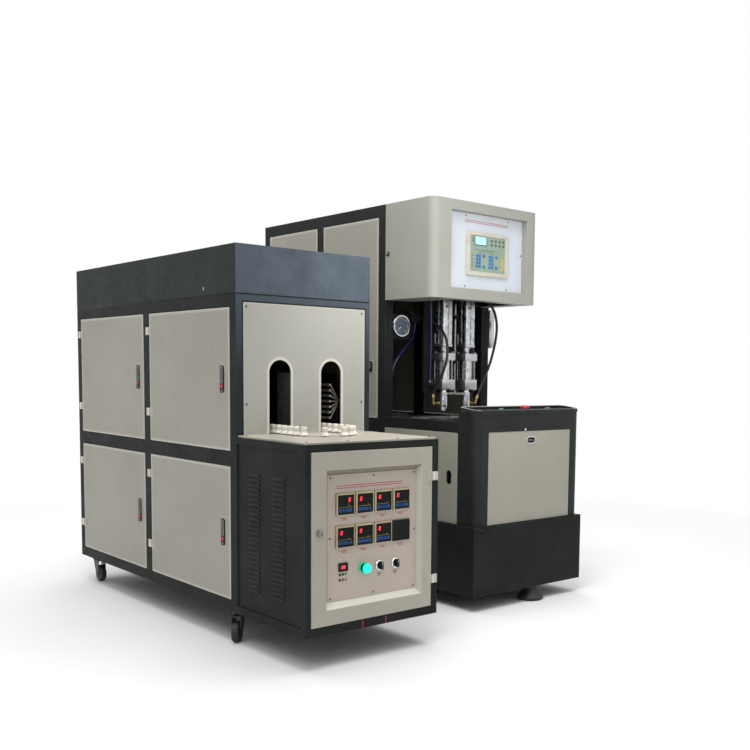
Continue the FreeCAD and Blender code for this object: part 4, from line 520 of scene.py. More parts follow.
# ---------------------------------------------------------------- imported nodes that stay
CORNERS = ("front_left", "front_right", "rear_left", "rear_right")
HEATER_DOORS = ("heater_door_upper_front", "heater_door_upper_rear", "heater_door_lower_front",
                "heater_door_lower_rear")
DRESSED = (
    (heater_black, "heater_frame"),
    (hood_slate, "heater_hood"),
    (frame_black, "control_box_panels", "press_frame", "base_skirt", "cylinder_bracket"),
    (console_black, "console_cabinet"),
    (panel_grey, "fixed_panels", "press_door_front", "press_door_rear", *HEATER_DOORS),
    (flap_grey, "side_access_panel", "front_access_panel"),
    (arch_grey, "arch_panel"),
    (door_grey, "control_door"),
    (head_grey, "head_cover"),
    (plate_rose, "control_plate"),
    (plate_white, "head_plate"),
    (shelf_cream, "shelf_plate"),
    (cream_plastic, "controller", "door_hinges"),
    (black_plastic, "panel_meters"),
    (shaded_reflector, "lamp_reflectors"),
    (steel, "conveyor_chain", "chain_drive", "stretch_rods", "clamp_frame", "moving_platen"),
    (mould_alu, "mould_front", "mould_rear"),
    (zinc, *("caster_fork_" + corner for corner in CORNERS)),
)


def dress(name, material):
    """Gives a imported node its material; smooth shading runs over shallow facets."""
    node = frame["nodes"][name]
    node.data.materials.clear()
    node.data.materials.append(material)
    weld = node.modifiers.new("weld", "WELD")
    weld.merge_threshold = 0.00002
    split = node.modifiers.new("split", "EDGE_SPLIT")
    split.split_angle = math.radians(38)


for material, *names in DRESSED:
    for name in names:
        dress(name, material)


# ---------------------------------------------------------------- camera, floor and light
CAMERA_TURN = (42.14, 5.03, 0.78)
CAMERA_PLACE = (-1661.8, -2944, 964.6)
LENS, SENSOR = 45.816, 36
SHIFT_X, SHIFT_Y = -0.1011, 0.1103
FAR_CLIP = 60


def set_camera():
    """Camera at the photograph's viewing angle: yaw to the right, pitch down and roll."""
    yaw, pitch, roll = (math.radians(turn) for turn in CAMERA_TURN)
    forward = Vector((math.sin(yaw) * math.cos(pitch), math.cos(yaw) * math.cos(pitch), -math.sin(pitch)))
    level = Vector((math.cos(yaw), -math.sin(yaw), 0))
    up = level.cross(forward)
    right = level * math.cos(roll) + up * math.sin(roll)
    top = up * math.cos(roll) - level * math.sin(roll)
    data = bpy.data.cameras.new("camera")
    data.sensor_width = SENSOR
    data.lens = LENS
    data.shift_x = SHIFT_X
    data.shift_y = SHIFT_Y
    data.clip_end = FAR_CLIP
    camera = put("camera", data)
    turn = Matrix((right, top, -forward)).transposed()
    camera.matrix_world = Matrix.Translation(row(CAMERA_PLACE)) @ turn.to_4x4()
    bpy.context.scene.camera = camera


def area_light(name, place, target, size, power, tint=(1, 1, 1)):
    """Soft rectangular lamp that points at a place."""
    data = bpy.data.lights.new(name, "AREA")
    data.shape = "RECTANGLE"
    data.size, data.size_y = size
    data.energy = power
    data.color = tint
    lamp = put(name, data)
    lamp.location = place
    lamp.rotation_mode = "QUATERNION"
    lamp.rotation_quaternion = (Vector(target) - Vector(place)).to_track_quat("-Z", "Y")


def seen_rays(tree):
    """1 for rays that should see the plain background."""
    path = add_node(tree, "ShaderNodeLightPath").outputs
    seen = path["Is Camera Ray"]
    for other in ("Is Glossy Ray", "Is Transmission Ray"):
        seen = add_node(tree, "ShaderNodeMath", {0: seen, 1: path[other]}, operation="MAXIMUM").outputs[0]
    return seen


AMBIENT = 0.4


def set_world():
    """Plain white to the eye and in reflections, with a softer light of its own."""
    world = bpy.data.worlds.new("studio")
    bpy.context.scene.world = world
    world.use_nodes = True
    tree = world.node_tree
    tree.nodes.clear()
    ambient = add_node(tree, "ShaderNodeBackground", {0: (0.96, 0.98, 1, 1), 1: AMBIENT})
    white = add_node(tree, "ShaderNodeBackground", {0: (1, 1, 1, 1), 1: 1})
    mixed = {0: seen_rays(tree), 1: ambient.outputs[0], 2: white.outputs[0]}
    mix = add_node(tree, "ShaderNodeMixShader", mixed)
    add_node(tree, "ShaderNodeOutputWorld", {0: mix.outputs[0]})


def set_floor():
    """Pale floor that keeps the shadow and fades into the white surround."""
    grid = bmesh.new()
    bmesh.ops.create_grid(grid, x_segments=1, y_segments=1, size=30.0)
    mesh = bpy.data.meshes.new("floor")
    grid.to_mesh(mesh)
    grid.free()
    floor = put("floor", mesh)
    floor.location.z = -0.0005
    pale, paler = (0.90, 0.90, 0.90, 1), (0.92, 0.92, 0.92, 1)
    g = Graph("floor", pale, 0.8)
    g.to_shader(g.blend(g.spread(g.noise(3), 0.3, 0.7), pale, paler), "Base Color")
    nearby = {"Vector": g.stretched((0.2, 0.2, 0.2))}
    away = g.node("ShaderNodeTexGradient", nearby, gradient_type="SPHERICAL")
    seen = g.times(seen_rays(g.tree), g.spread(away.outputs["Fac"], 0.62, 0.25))
    glow = g.node("ShaderNodeEmission").outputs[0]
    last = g.node("ShaderNodeMixShader", {0: seen, 1: g.shader.outputs[0], 2: glow})
    g.tree.links.new(last.outputs[0], g.tree.nodes["Material Output"].inputs["Surface"])
    mesh.materials.append(g.material)


def set_lights():
    """Soft lamps: in front, above, behind, and one each for the gap and the press's bay."""
    bay, bay_target = row(at_press(-260, -900, 1500)), row(at_press(320, -60, 1000))
    area_light("key", (-3.2, -3, 4.8), (0, 0, 0.8), (3.2, 3.2), 96)
    area_light("front_fill", (1.8, -4.6, 2.6), (0.3, 0, 0.8), (3, 2.4), 10, (0.94, 0.97, 1))
    area_light("top", (0, -0.4, 4.6), (0, 0, 0), (4, 4), 160)
    area_light("rear", (2.6, 4.2, 3), (0, 0, 0.8), (3, 3), 60)
    area_light("gap_fill", (-1, 2.6, 3), (0.3, 0.3, 1.3), (1.2, 1.2), 18)
    area_light("bay", bay, bay_target, (0.8, 0.8), 4.5)


set_camera()
set_world()
set_floor()
set_lights()
bpy.context.scene.view_settings.view_transform = "Standard"

# ---------------------------------------------------------------- heating cabinet
LOOP_X, LOOP_FRONT_Y, LOOP_REAR_Y = 285, -105, 390.3
CHAIN_PITCH, TEETH, STRAIGHT = 38.1, 18, 13
LOOP_R = CHAIN_PITCH / (2 * math.sin(math.pi / TEETH))
SHELF_TOP, CHAIN_TOP = 741, 711
EMPTY_PLACES = (15, 17)
HOLDER = ((0, 16.4), (1.2, 17), (2.6, 16.8), (6.5, 13.4), (10.5, 11.2), (13.5, 10.5), (15, 10.7), (16, 11.2),
          (26.5, 11), (28.8, 10.2), (30, 8.4), (30, 4.2), (23, 4), (23, 0))
LAMP_Y0, LAMP_Y1 = 95, 483
LAMP_REACH = LOOP_R + 50.5
LAMP_LEVELS = [790 + 21 * level for level in range(7)]
SHEET_Y = (55.5, 363, 670.5, 745.5, 1058, 1370.5)
SHEET_Z = (164.5, 619.5, 694.5, 1174.5)
SCREW_HIGH = 2.35  # screws at the outermost sheets are sunk by this, to stay in the part's box
SIDE_SCREW_X, REAR_SCREW_Y = 573, 1422 - SCREW_HIGH
SEAM_LOW, SEAM_HIGH = 1227.6, 1232.6
LOUVRE_Y, LOUVRE_Z, LOUVRE_PITCH, LOUVRES = (-112, -266), 213, 16.6, 25
LOCK_LOOKS = (black_plastic, stop_red, steel)
HEATER_LOCK, PRESS_LOCK, LARGE_LOCK = 96, 48, 60


def holder_places():
    """Centres of the holders along the chain, in the source's order."""
    half = TEETH // 2
    places = []
    for side, bend_y, start_y in ((-1, LOOP_FRONT_Y, LOOP_REAR_Y), (1, LOOP_REAR_Y, LOOP_FRONT_Y)):
        for step in range(STRAIGHT):
            places.append((LOOP_X + side * LOOP_R, start_y + side * step * CHAIN_PITCH))
        for step in range(half):
            angle = (math.pi if side < 0 else 0) + step * math.pi / half
            places.append((LOOP_X + LOOP_R * math.cos(angle), bend_y + LOOP_R * math.sin(angle)))
    return places


def make_holders():
    """White holders, each turned with a flared skirt, a waist and a socketed plug, on square spindles."""
    shape = Shape()
    for index, (x, y) in enumerate(holder_places()):
        if index not in EMPTY_PLACES:
            shape.turned(HOLDER, (x, y, SHELF_TOP + 3), Z, 24)
            shape.box((x - 3.5, y - 3.5, CHAIN_TOP), (x + 3.5, y + 3.5, SHELF_TOP + 3.5), 0.6, 1)
    materials = (white_plastic, steel)
    shape.piece("preform_holders_turned", MACHINE, materials, "plastic_white", ("preform_holders",))


def make_lamps():
    """Quartz tubes between ceramic ends with their terminals."""
    ends, tubes = Shape(), Shape()
    for side, z in product((-1, 1), LAMP_LEVELS):
        x = LOOP_X + side * LAMP_REACH
        tubes.turned(((0, 4.8), (LAMP_Y1 - LAMP_Y0, 4.8)), (x, LAMP_Y0, z), Y, 20)
        for y, way in ((LAMP_Y0, -1), (LAMP_Y1, 1)):
            low, high = sorted((y, y + way * 16))
            ends.box((x - 5.2, low, z - 5.6), (x + 5.2, high, z + 5.6), 1.6)
            ends.turned(((0, 4.2), (3, 4.2), (3.8, 3.4), (6, 3)), (x, y + way * 16, z), Y * way, 16, 1)
            ends.turned(((0, 5.8), (1.5, 5.8)), (x, y - way * 1.5, z), Y * way, 20)
    tubes.piece("lamp_tubes", MACHINE, (quartz_glass,), "lamp_glass")
    ends.piece("lamp_ends", MACHINE, (ceramic, white_plastic), "plastic_white", ("heat_lamps",))


def lock(shape, y, z, height, x=-3):
    """Flush lock: bezel, sunk lever with a ridge, and the release button below it."""
    half = height / 2
    outline = around(y, z, 12.4, half + 0.4, 5, 4)
    shape.ring_slab(outline, around(y, z, 8.9, half - 3, 3, 4), x - 1.4, x + 2.6, 0)
    shape.slab(outline, x - 0.3, x + 0.2, 0)
    lever_low = z - half * 0.30
    shape.box((x - 1.6, y - 7.6, lever_low), (x - 0.2, y + 7.6, z + half - 4), 0.6, 2)
    shape.box((x - 2.4, y - 2, lever_low + 3), (x - 1.4, y + 2, z + half - 8), 0.5)
    if height > LARGE_LOCK:
        shape.turned(((0, 7), (2.2, 7), (3, 5.6)), (x - 0.2, y, z - half * 0.52), -X, 24, 1)
        shape.box((x - 1.4, y - 6, z - half + 5), (x - 0.2, y + 6, z - half * 0.80), 0.5, 2)
    else:
        shape.turned(((0, 5.6), (2, 5.6), (2.8, 4.6)), (x - 0.2, y, z - half * 0.55), -X, 24)


def make_heater_locks():
    """Locks, hinge barrels with their knuckle joints, and marks of the heating cabinet."""
    for name in HEATER_DOORS:
        shape = Shape()
        lock(shape, 95 if "front" in name else 785, 934.5 if "upper" in name else 392, HEATER_LOCK)
        shape.piece(name + "_lock", name, LOCK_LOOKS, "plastic_black")
    barrels = Shape()
    knuckles = ((-15, 2.2), (-14.4, 3.1), (-5.2, 3.1), (-5, 2.7), (-4.8, 3.1), (4.8, 3.1), (5, 2.7),
                (5.2, 3.1), (14.4, 3.1), (15, 2.2))
    for xs, ys, zs in (((-5,), (685, 1385), (798, 1116, 268, 552)), ((533.5,), (-431,), (240, 606))):
        for place in product(xs, ys, zs):
            barrels.turned(knuckles, place, Z, 16)
    barrels.piece("hinge_barrels", MACHINE, (white_plastic,), "plastic_white")
    marks = Shape()
    for x in (229, 327):
        marks.box((x - 1.6, -426.25, 113), (x + 1.6, -425.9, 138.5), 0.1)
    marks.piece("frame_marks", MACHINE, (stripe_red,), "plastic_red")


def make_heater_trim():
    """Screws, the hood's seam with its clip, and the dark seams round the arch panel."""
    screws = Shape()
    for x, z in ((40, 1187), (536, 1187), (40, 849), (536, 852)):
        screws.screw((x, 0, z), -Y, 3.6)
    screws.screws((22, 535), (-400, -30), (SHELF_TOP,), Z)
    screws.screws((180, 390), (-404,), (SHELF_TOP,), Z)
    screws.screws((SIDE_SCREW_X,), SHEET_Y, SHEET_Z, X)
    screws.screws((42, 290, 536), (REAR_SCREW_Y,), SHEET_Z, Y)
    screws.screws((5,), (-28, -210, -392), (152, 700), -X, 3)
    screws.screws((552,), (-28, -210, -392), (152, 700), X, 3)
    screws.piece("heater_screws", MACHINE, (zinc, black_plastic), "steel")
    clip = Shape()
    clip.box((-1.6, 226, 1250), (0.5, 231, 1262), 0.6)
    clip.piece("hood_side_clip", MACHINE, (cast_alu,), "aluminium")
    seams = Shape()
    seams.box((-0.5, 3, SEAM_LOW), (0.5, 1419, SEAM_HIGH), 0.2)
    seams.box((3, -0.5, SEAM_LOW), (570, 0.5, SEAM_HIGH), 0.2)
    for x0, x1, z0 in ((23.6, 28.6, 741.5), (28.6, 549.4, 1201.4), (549.4, 554.4, 741.5)):
        seams.box((x0, -0.5, z0), (x1, 0.4, 1206.4), 0.1)
    seams.piece("hood_seam", MACHINE, (frame_black,), "frame_black")


def make_louvre_slots():
    """Black strips in the slots under the pressed louvres on the left of the control box: painted shade in
    their openings.
    """
    shape = Shape()
    for y, step in product(LOUVRE_Y, range(LOUVRES)):
        z = LOUVRE_Z + LOUVRE_PITCH * step
        shape.box((0.6, y - 33, z - 1.6), (4.9, y + 33, z - 0.1), 0.3)
    shape.piece("louvre_slots", MACHINE, (rubber,), "rubber_black")


# ---------------------------------------------------------------- control door
# seven-segment bars (x0, z0, x1, z1) in a digit 0.6 wide and 1 high
SEGMENTS = {"a": (0.08, 0.92, 0.52, 1), "b": (0.52, 0.54, 0.6, 0.94), "c": (0.52, 0.06, 0.6, 0.46),
            "d": (0.08, 0, 0.52, 0.08), "e": (0, 0.06, 0.08, 0.46), "f": (0, 0.54, 0.08, 0.94),
            "g": (0.08, 0.46, 0.52, 0.54)}
DIGITS = {"0": "abcdef", "8": "abcdefg"}
LEAN = 0.12
PLATE_Y = -404
METER_X, METER_Z = (168, 247, 326, 405), (533, 425)
TIMER_X, TIMER_Z = 162, 324
DEVICE_Z, BUTTON_X = 312, 246
TRAVEL = 4.3  # a button's travel with its play
SELECTORS = {"selector_left": 313, "selector_right": 382}
LEVER = ((-4.4, -12.5), (4.4, -12.5), (5, 6), (3.4, 14.5), (-3.4, 14.5), (-5, 6))
KNOB_X, KNOB_Z = 54, 449


def digit(shape, text, x, y, z, size, mat, bold=0.6):
    """Lit seven-segment digit standing proud of its glass."""
    for name in DIGITS[text]:
        x0, z0, x1, z1 = SEGMENTS[name]
        if x1 - x0 < 0.2:
            x0, x1 = x0 - 0.04 * bold, x1 + 0.04 * bold
        else:
            z0, z1 = z0 - 0.04 * bold, z1 + 0.04 * bold
        bar = ((x0, z0), (x1, z0), (x1, z1), (x0, z1))
        corners = [(x + (u + LEAN * w) * size, z + w * size) for u, w in bar]
        shape.slab(corners, y - 0.25, y + 0.1, 1, mat)


def make_meters():
    """Temperature meters: pale frame, black window, lit digit, legend bar and four keys; one is a grille."""
    shape = Shape()
    y = PLATE_Y - 6
    for z, x in product(METER_Z, METER_X):
        first, blank = (x, z) == (METER_X[0], METER_Z[0]), (x, z) == (METER_X[-1], METER_Z[-1])
        wide = 3 if blank else 5.2
        inner = soft_rectangle(x - 36.2 + wide, z - 34, x + 34.2, z + 36.2 - wide, 1.5, 2)
        shape.ring_slab(around(x, z, 36.2, 36.2, 2), inner, y - 1.2, y + 4, 1, 3 if blank else 0)
        shape.slab(inner, y - 0.3, y + 0.3, 1, 1)
        if blank:
            for step in range(9):
                left = x - 24 + step * 6
                shape.box((left, y - 1, z - 28), (left + 1.4, y - 0.2, z + 28), 0.2, 3)
            continue
        digit(shape, "0", x + (12 if first else -20), y - 0.4, z + 8, 12, 4, 1.6)
        if first:
            digit(shape, "0", x + 10, y - 0.4, z - 4.5, 7, 5)
        shape.box((x - 26, y - 0.6, z - 10.4), (x + 26, y - 0.2, z - 9.2), 0.1, 6)
        shape.box((x + 12, y - 0.7, z - 7.6), (x + 18, y - 0.2, z - 5.8), 0.1, 6)
        for left in (x - 27, x - 13, x + 1, x + 15):
            shape.box((left, y - 1.1, z - 26), (left + 12, y - 0.2, z - 14.5), 0.5, 2)
    materials = (meter_frame, black_glass, key_navy, black_plastic, led_red, led_green, brass)
    shape.piece("meter_faces", "control_door", materials, "plastic_black")


def make_timer():
    """Timer with two digits, and the six keys below it."""
    shape = Shape()
    x, z, y = TIMER_X, TIMER_Z, PLATE_Y - 4
    window = around(x, z, 15.5, 11.5, 1)
    shape.ring_slab(around(x, z, 18.2, 14.2, 2), window, y - 0.8, PLATE_Y)
    shape.slab(window, y - 0.1, y + 0.4, 1, 1)
    for left in (x - 8, x + 0.5):
        digit(shape, "8", left, y - 0.2, z - 5, 10, 2, 1.8)
    for kz, looks in ((299, (5, 5, 4)), (281, (5, 6, 3))):
        for kx, mat in zip((150, 162, 174), looks):
            shape.box((kx - 4, PLATE_Y - 1.6, kz - 3.6), (kx + 4, PLATE_Y, kz + 3.6), 0.6, mat)
    materials = (black_plastic, black_glass, led_red, key_red, key_green, black_plastic, key_navy)
    shape.piece("timer_and_keys", "control_door", materials, "plastic_black")


def make_legends():
    """Plain bars in the places of legends, and the screws of the control plate."""
    bars = Shape()
    rows = ((METER_X, METER_Z, 13, -48.6, -46.4, 1), (METER_X, METER_Z, 9, -53.4, -51.4, 1),
            (SELECTORS.values(), (DEVICE_Z,), 9, -30, -27, 0),
            (SELECTORS.values(), (DEVICE_Z,), 6, -36.5, -34, 0),
            ((275,), (594, 586.5), 139, -1.2, 1.2, 1))
    for xs, zs, half, low, high, mat in rows:
        for x, z in product(xs, zs):
            bars.box((x - half, PLATE_Y - 0.4, z + low), (x + half, PLATE_Y + 0.2, z + high), 0.1, mat)
    bars.piece("legend_bars", "control_door", (mark_dark, stripe_red), "plastic_black")
    screws = Shape()
    screws.screws((112, 288, 464), (PLATE_Y,), (622, 223), -Y, 2.9)
    screws.screws((110, 466), (PLATE_Y,), (423,), -Y, 2.9)
    screws.piece("panel_screws", "control_door", (zinc, black_plastic), "steel")


def make_controls():
    """Lit button and two lever selectors of the control door."""
    y, z = PLATE_Y, DEVICE_Z
    collars = Shape()
    ring = ((0, 19.2), (3.6, 19.2), (5.6, 18.2), (6, 17), (6, 15.4), (0.1, 15.4))
    collars.turned(ring, (BUTTON_X, y, z), -Y, 40, 2)
    collars.turned(((0, 15.4), (0.15, 15.4)), (BUTTON_X, y, z), -Y, 40)
    ring = ((0, 18.6), (4.6, 18.6), (6.6, 17.4), (7.4, 15.4), (7.4, 13.4), (0.4, 13.4))
    for x in SELECTORS.values():
        collars.turned(ring, (x, y, z), -Y, 40, 1)
        collars.turned(((0, 13.4), (0.5, 13.4)), (x, y, z), -Y, 40, 1)
    materials = (black_plastic, chrome, lamp_ring)
    collars.piece("button_collars", "control_door", materials, "chrome", ("panel_fittings",))
    lens = Shape()
    dome = ((14.6, 16.6), (19.4, 16.6), (21.4, 15.6), (22.6, 12), (23.2, 6), (23.2, 0))
    lens.turned(dome, (BUTTON_X, y - TRAVEL, z), -Y, 40)
    lens.turned(((0, 14.8), (15, 14.8)), (BUTTON_X, y - TRAVEL, z), -Y, 40, 1)
    materials = (lamp_lens, black_plastic)
    lens.piece("lamp_button_lens", "lamp_button", materials, "plastic_green", ("lamp_button",))
    for name, x in SELECTORS.items():
        knob = Shape()
        knob.turned(((-5.5, 12.8), (2.4, 12.8), (3, 12.2), (3, 0)), (x, y - 6, z), -Y, 40)
        knob.slab([(x + a, z + b) for a, b in LEVER], y - 20, y - 8.9, 1)
        knob.box((x - 0.7, y - 20.3, z + 4), (x + 0.7, y - 19.8, z + 13), 0.2, 1)
        knob.piece(name + "_lever", name, (black_plastic, white_plastic), "plastic_black", (name,))


def make_door_knob():
    """Turned lock knob of the control door, with its shaft and cam."""
    handle = Shape()
    x, z = KNOB_X, KNOB_Z
    profile = ((0.4, 11), (1.6, 12), (3.6, 11.6), (5, 9.4), (7.4, 9), (9.4, 9.6), (11, 8.8), (11.8, 6.6),
               (11.8, 0))
    handle.turned(profile, (x, -426, z), -Y)
    handle.pin((x, -426.5, z), (x, -399.7, z), 4.9)
    handle.box((x - 7, -403.7, z - 7), (x + 7, -399.7, z + 45), 0.8, 1)
    handle.box((x - 0.8, -438, z - 6), (x + 0.8, -437.6, z + 6), 0.1, 2)
    handle.piece("door_knob_turned", "door_knob", (steel, zinc, black_plastic), "chrome", ("door_knob",))


# ---------------------------------------------------------------- casters
# swivel axis x, y and the heading of the trailing wheel in degrees
CASTERS = {"front_left": (44, 62, 224), "front_right": (529, 62, 250), "rear_left": (44, 1345, 268),
           "rear_right": (529, 1345, 285)}
CASTER_TRAIL = 33
WHEEL_Z = 37.5 * math.cos(math.pi / 24)
TREAD = ((-12.6, 27.5), (-12.9, 31), (-12.2, 34.2), (-9.5, 36.4), (-5, 37), (5, 37), (9.5, 36.4),
         (12.2, 34.2), (12.9, 31), (12.6, 27.5))
HUB = ((9, 27.4), (12.9, 27.4), (13, 25), (10.6, 22.5), (10.2, 13), (12.2, 11), (13.1, 10), (13.1, 5.4),
       (9, 5.4))


def make_casters():
    """Caster wheels with a crowned tyre and dished hubs; axle bolts, swivel race and plate bolts."""
    for corner, (x, y, heading) in CASTERS.items():
        angle = math.radians(heading)
        place = Vector((x + CASTER_TRAIL * math.cos(angle), y + CASTER_TRAIL * math.sin(angle), WHEEL_Z))
        axle = Vector((math.cos(angle - math.pi / 2), math.sin(angle - math.pi / 2), 0))
        wheel, fork = Shape(), Shape()
        wheel.turned(TREAD, place, axle, 48)
        for way in (-1, 1):
            wheel.turned(HUB, place, axle * way, 36, 1)
            fork.turned(((0, 8), (1.6, 8), (2.4, 6.4), (2.4, 0)), place + axle * way * 16, axle * way, 6)
        name = "caster_wheel_" + corner
        wheel.piece(name + "_turned", name, (tyre, zinc), "tyre_black", (name,))
        fork.turned(((0, 22.3), (1.2, 22.8), (9, 22.8), (11, 21)), (x, y, 96), Z, 40)
        for bolt in product((x - 15.4, x + 15.4), (y - 15.4, y + 15.4), (105.2,)):
            fork.turned(((0, 5.4), (2.6, 5.4), (3.2, 4.6), (3.2, 0)), bolt, -Z, 6)
        name = "caster_fork_" + corner
        fork.piece(name + "_bolts", name, (zinc,), "steel")


# ---------------------------------------------------------------- blowing press
PRESS_WIDE, PRESS_REAR_Y, ROOF_SCREW_Z = 637, 997, 1696 - SCREW_HIGH
PRESS_SHEET_Y = (59.5, 462.5, 536.5, 940.5)
PRESS_LOW_Z, PRESS_HIGH_Z = (361, 523.75, 688.5), (774.5, 1203, 1633.5)
PRESS_REAR_Z = (361, 688.5, 774.5, 1633.5)
FLAP_PULL, FINGER_HOLE = (322, 691), (-433, 539)
HEAD_FACE = -285
BLOW_Y, BLOW_X = -110, (249.5, 387.5)
STRETCH_CAPS = ((1085, 1098), (1546, 1560))
STRETCH_HALF, STRETCH_CAP_HALF, STRETCH_BOLT = 27.6, 28.4, 20
SEAL_HEADS = ((893, 939), (1023, 1057))
SEAL_HEAD_HALF, SEAL_ROD = 37, 27
SEAL_RIBS = (900, 905.5, 911, 916.5, 922)
GUIDE_X, GUIDE_Z = 318.5, (1010, 1210)
GROOVE = 4.2
TRAY_FLOOR, TRAY_Y = 806, -540
STOP_X = 335
HAND_BUTTONS = {"hand_button_left": 192, "hand_button_right": 477}
GAUGE_X, GAUGE_Y, GAUGE_Z = 76, -3, 1173


def make_press_fittings():
    """Locks, the flap's pull and catch, the finger hole's rim and the head's latch."""
    for end, y in (("front", 99), ("rear", 576)):
        shape = Shape(PRESS)
        lock(shape, y, 992, PRESS_LOCK)
        shape.piece("press_door_" + end + "_lock", "press_door_" + end, LOCK_LOOKS, "plastic_black")
    pull = Shape(PRESS)
    pull.ring_slab(oval(FLAP_PULL, 55, 31), oval(FLAP_PULL, 48, 24), -592.6, -589.5)
    pull.slab(oval(FLAP_PULL, 51.5, 27.5), -582, -581.2, 1, 1)
    pull.box((309, -588, 688.5), (335, -586, 693.5), 0.8, 2)
    pull.piece("flap_pull", "front_access_panel", (chrome, rubber, steel), "chrome")
    catch = Shape(PRESS)
    catch.box((281, -594.5, 731.6), (289, -591, 740), 1)
    catch.turned(((0, 2.4), (1.2, 2.4), (1.8, 1.6)), (285, -594.4, 736), -Y, 12)
    catch.piece("flap_catch", MACHINE, (white_plastic,), "plastic_white")
    rim = Shape(PRESS)
    rim.ring_slab(oval(FINGER_HOLE, 31, 58), oval(FINGER_HOLE, 28.2, 55.2), -0.6, 1.6, 0)
    rim.piece("finger_hole_rim", "side_access_panel", (rubber,), "rubber_black")
    latch = Shape(PRESS)
    latch.box((-5, -27, 1472), (0.4, -11, 1490), 1.2)
    latch.turned(((0, 5), (3, 5), (4.2, 3.6)), (-4.6, -19, 1481), -X, 20, 1)
    latch.piece("head_latch", "head_cover", (zinc, steel), "steel")


def make_press_screws():
    """Screws of the press's sheets, roof and base."""
    screws = Shape(PRESS)
    screws.screws((0,), PRESS_SHEET_Y, PRESS_LOW_Z, -X)
    screws.screws((PRESS_WIDE,), PRESS_SHEET_Y, PRESS_LOW_Z + PRESS_HIGH_Z, X)
    screws.screws((44, 318, 593), (PRESS_REAR_Y,), PRESS_REAR_Z, Y)
    screws.screws((PRESS_WIDE,), (-470, -16), (361, 713), X)
    screws.screws((48, 318, 588), (66, 500, 934), (ROOF_SCREW_Z,), Z)
    screws.screws((30, 607), (-600,), (335,), -Y)
    screws.piece("press_screws", MACHINE, (zinc, black_plastic), "steel")


def make_controller():
    """Screws and plain bars of the white plate, and the bezel of the keypad."""
    screws = Shape(PRESS)
    for x, z in ((212, 1642), (471, 1642), (212, 1342), (464, 1342), (553, 1500), (114, 1500)):
        screws.screw((x, HEAD_FACE, z), -Y, 3.2)
    for z in (1624, 1617):
        screws.box((206, HEAD_FACE - 0.4, z - 1.1), (470, HEAD_FACE + 0.2, z + 1.1), 0.1, 2)
    screws.piece("head_plate_screws", "head_cover", (zinc, black_plastic, stripe_red), "steel")
    front = HEAD_FACE - 8
    bezel = Shape(PRESS)
    window = soft_rectangle(234.5, 1409, 445.5, 1562.5, 4)
    bezel.ring_slab(soft_rectangle(211.5, 1390.5, 468.5, 1578.5, 9), window, front - 1, HEAD_FACE)
    outer, inner = soft_rectangle(215, 1394, 465, 1575, 8), soft_rectangle(232, 1406.5, 448, 1565, 5)
    bezel.ring_slab(outer, inner, front - 2, front)
    bezel.piece("controller_bezel", "head_cover", (cream_plastic,), "controller_grey", ("controller",))
    make_keypad(window, front + 1)


def make_keypad(window, floor):
    """Membrane with its lit display, keys and plain caption lines, on a floor inside the bezel."""
    pad = Shape(PRESS)
    pad.slab(window, floor, HEAD_FACE, 1)
    pad.ring_slab(around(297, 1542, 37, 21, 2), around(297, 1542, 33, 17, 1), floor - 1, floor + 0.1, 1, 5)
    columns, lines = (364, 388, 412, 436), (1477, 1462, 1447, 1432)
    # places across and up, width, height and material
    keys = (((297,), (1542,), 66, 34, 1), ((297,), (1548,), 40, 2, 6), ((297,), (1538,), 28, 2, 6),
            ((248,), (1538, 1548), 7, 5, 5), (columns, (1548, 1530), 13, 8, 5),
            (columns, (1541, 1523), 9, 1.6, 6), ((290, 366), (1489,), 26, 1.6, 6),
            ((326,), (1503,), 130, 1.8, 6), ((326,), (1497,), 96, 1.2, 6),
            ((276, 292, 352, 368), lines, 13.5, 12.5, 2), ((317, 393), lines[::3], 13.5, 12.5, 2),
            ((428,), [z - 6 for z in lines], 13.5, 10, 3), ((248,), lines, 6, 5, 5))
    for xs, zs, width, height, mat in keys:
        for x, z in product(xs, zs):
            low = (x - width / 2, floor - 0.7, z - height / 2)
            pad.box(low, (x + width / 2, floor + 0.1, z + height / 2), 0.4, mat)
    materials = (membrane, lcd, key_blue, key_yellow, key_red, mark_dark, mark_dark)
    pad.piece("controller_keypad", "head_cover", materials, "controller_grey")


def extrusion(x, y, half):
    """Section of an extruded cylinder tube: rounded corners and one groove in each side."""
    quarter = [(half - 5, half), (GROOVE, half), (GROOVE - 1.4, half - 3.4), (-GROOVE + 1.4, half - 3.4),
               (-GROOVE, half), (-half + 5, half), (-half + 1.5, half - 1.5)]
    points = []
    for turn in range(4):
        angle = math.radians(90 * turn)
        c, s = math.cos(angle), math.sin(angle)
        points += [(x + a * c - b * s, y + a * s + b * c) for a, b in quarter]
    return points


def about(x, half, z0, z1):
    """Opposite corners of a square block about a cylinder's centre line."""
    return (x - half, BLOW_Y - half, z0), (x + half, BLOW_Y + half, z1)


def four_about(x, reach, z):
    """Four places about a cylinder's centre line."""
    return product((x - reach, x + reach), (BLOW_Y - reach, BLOW_Y + reach), (z,))


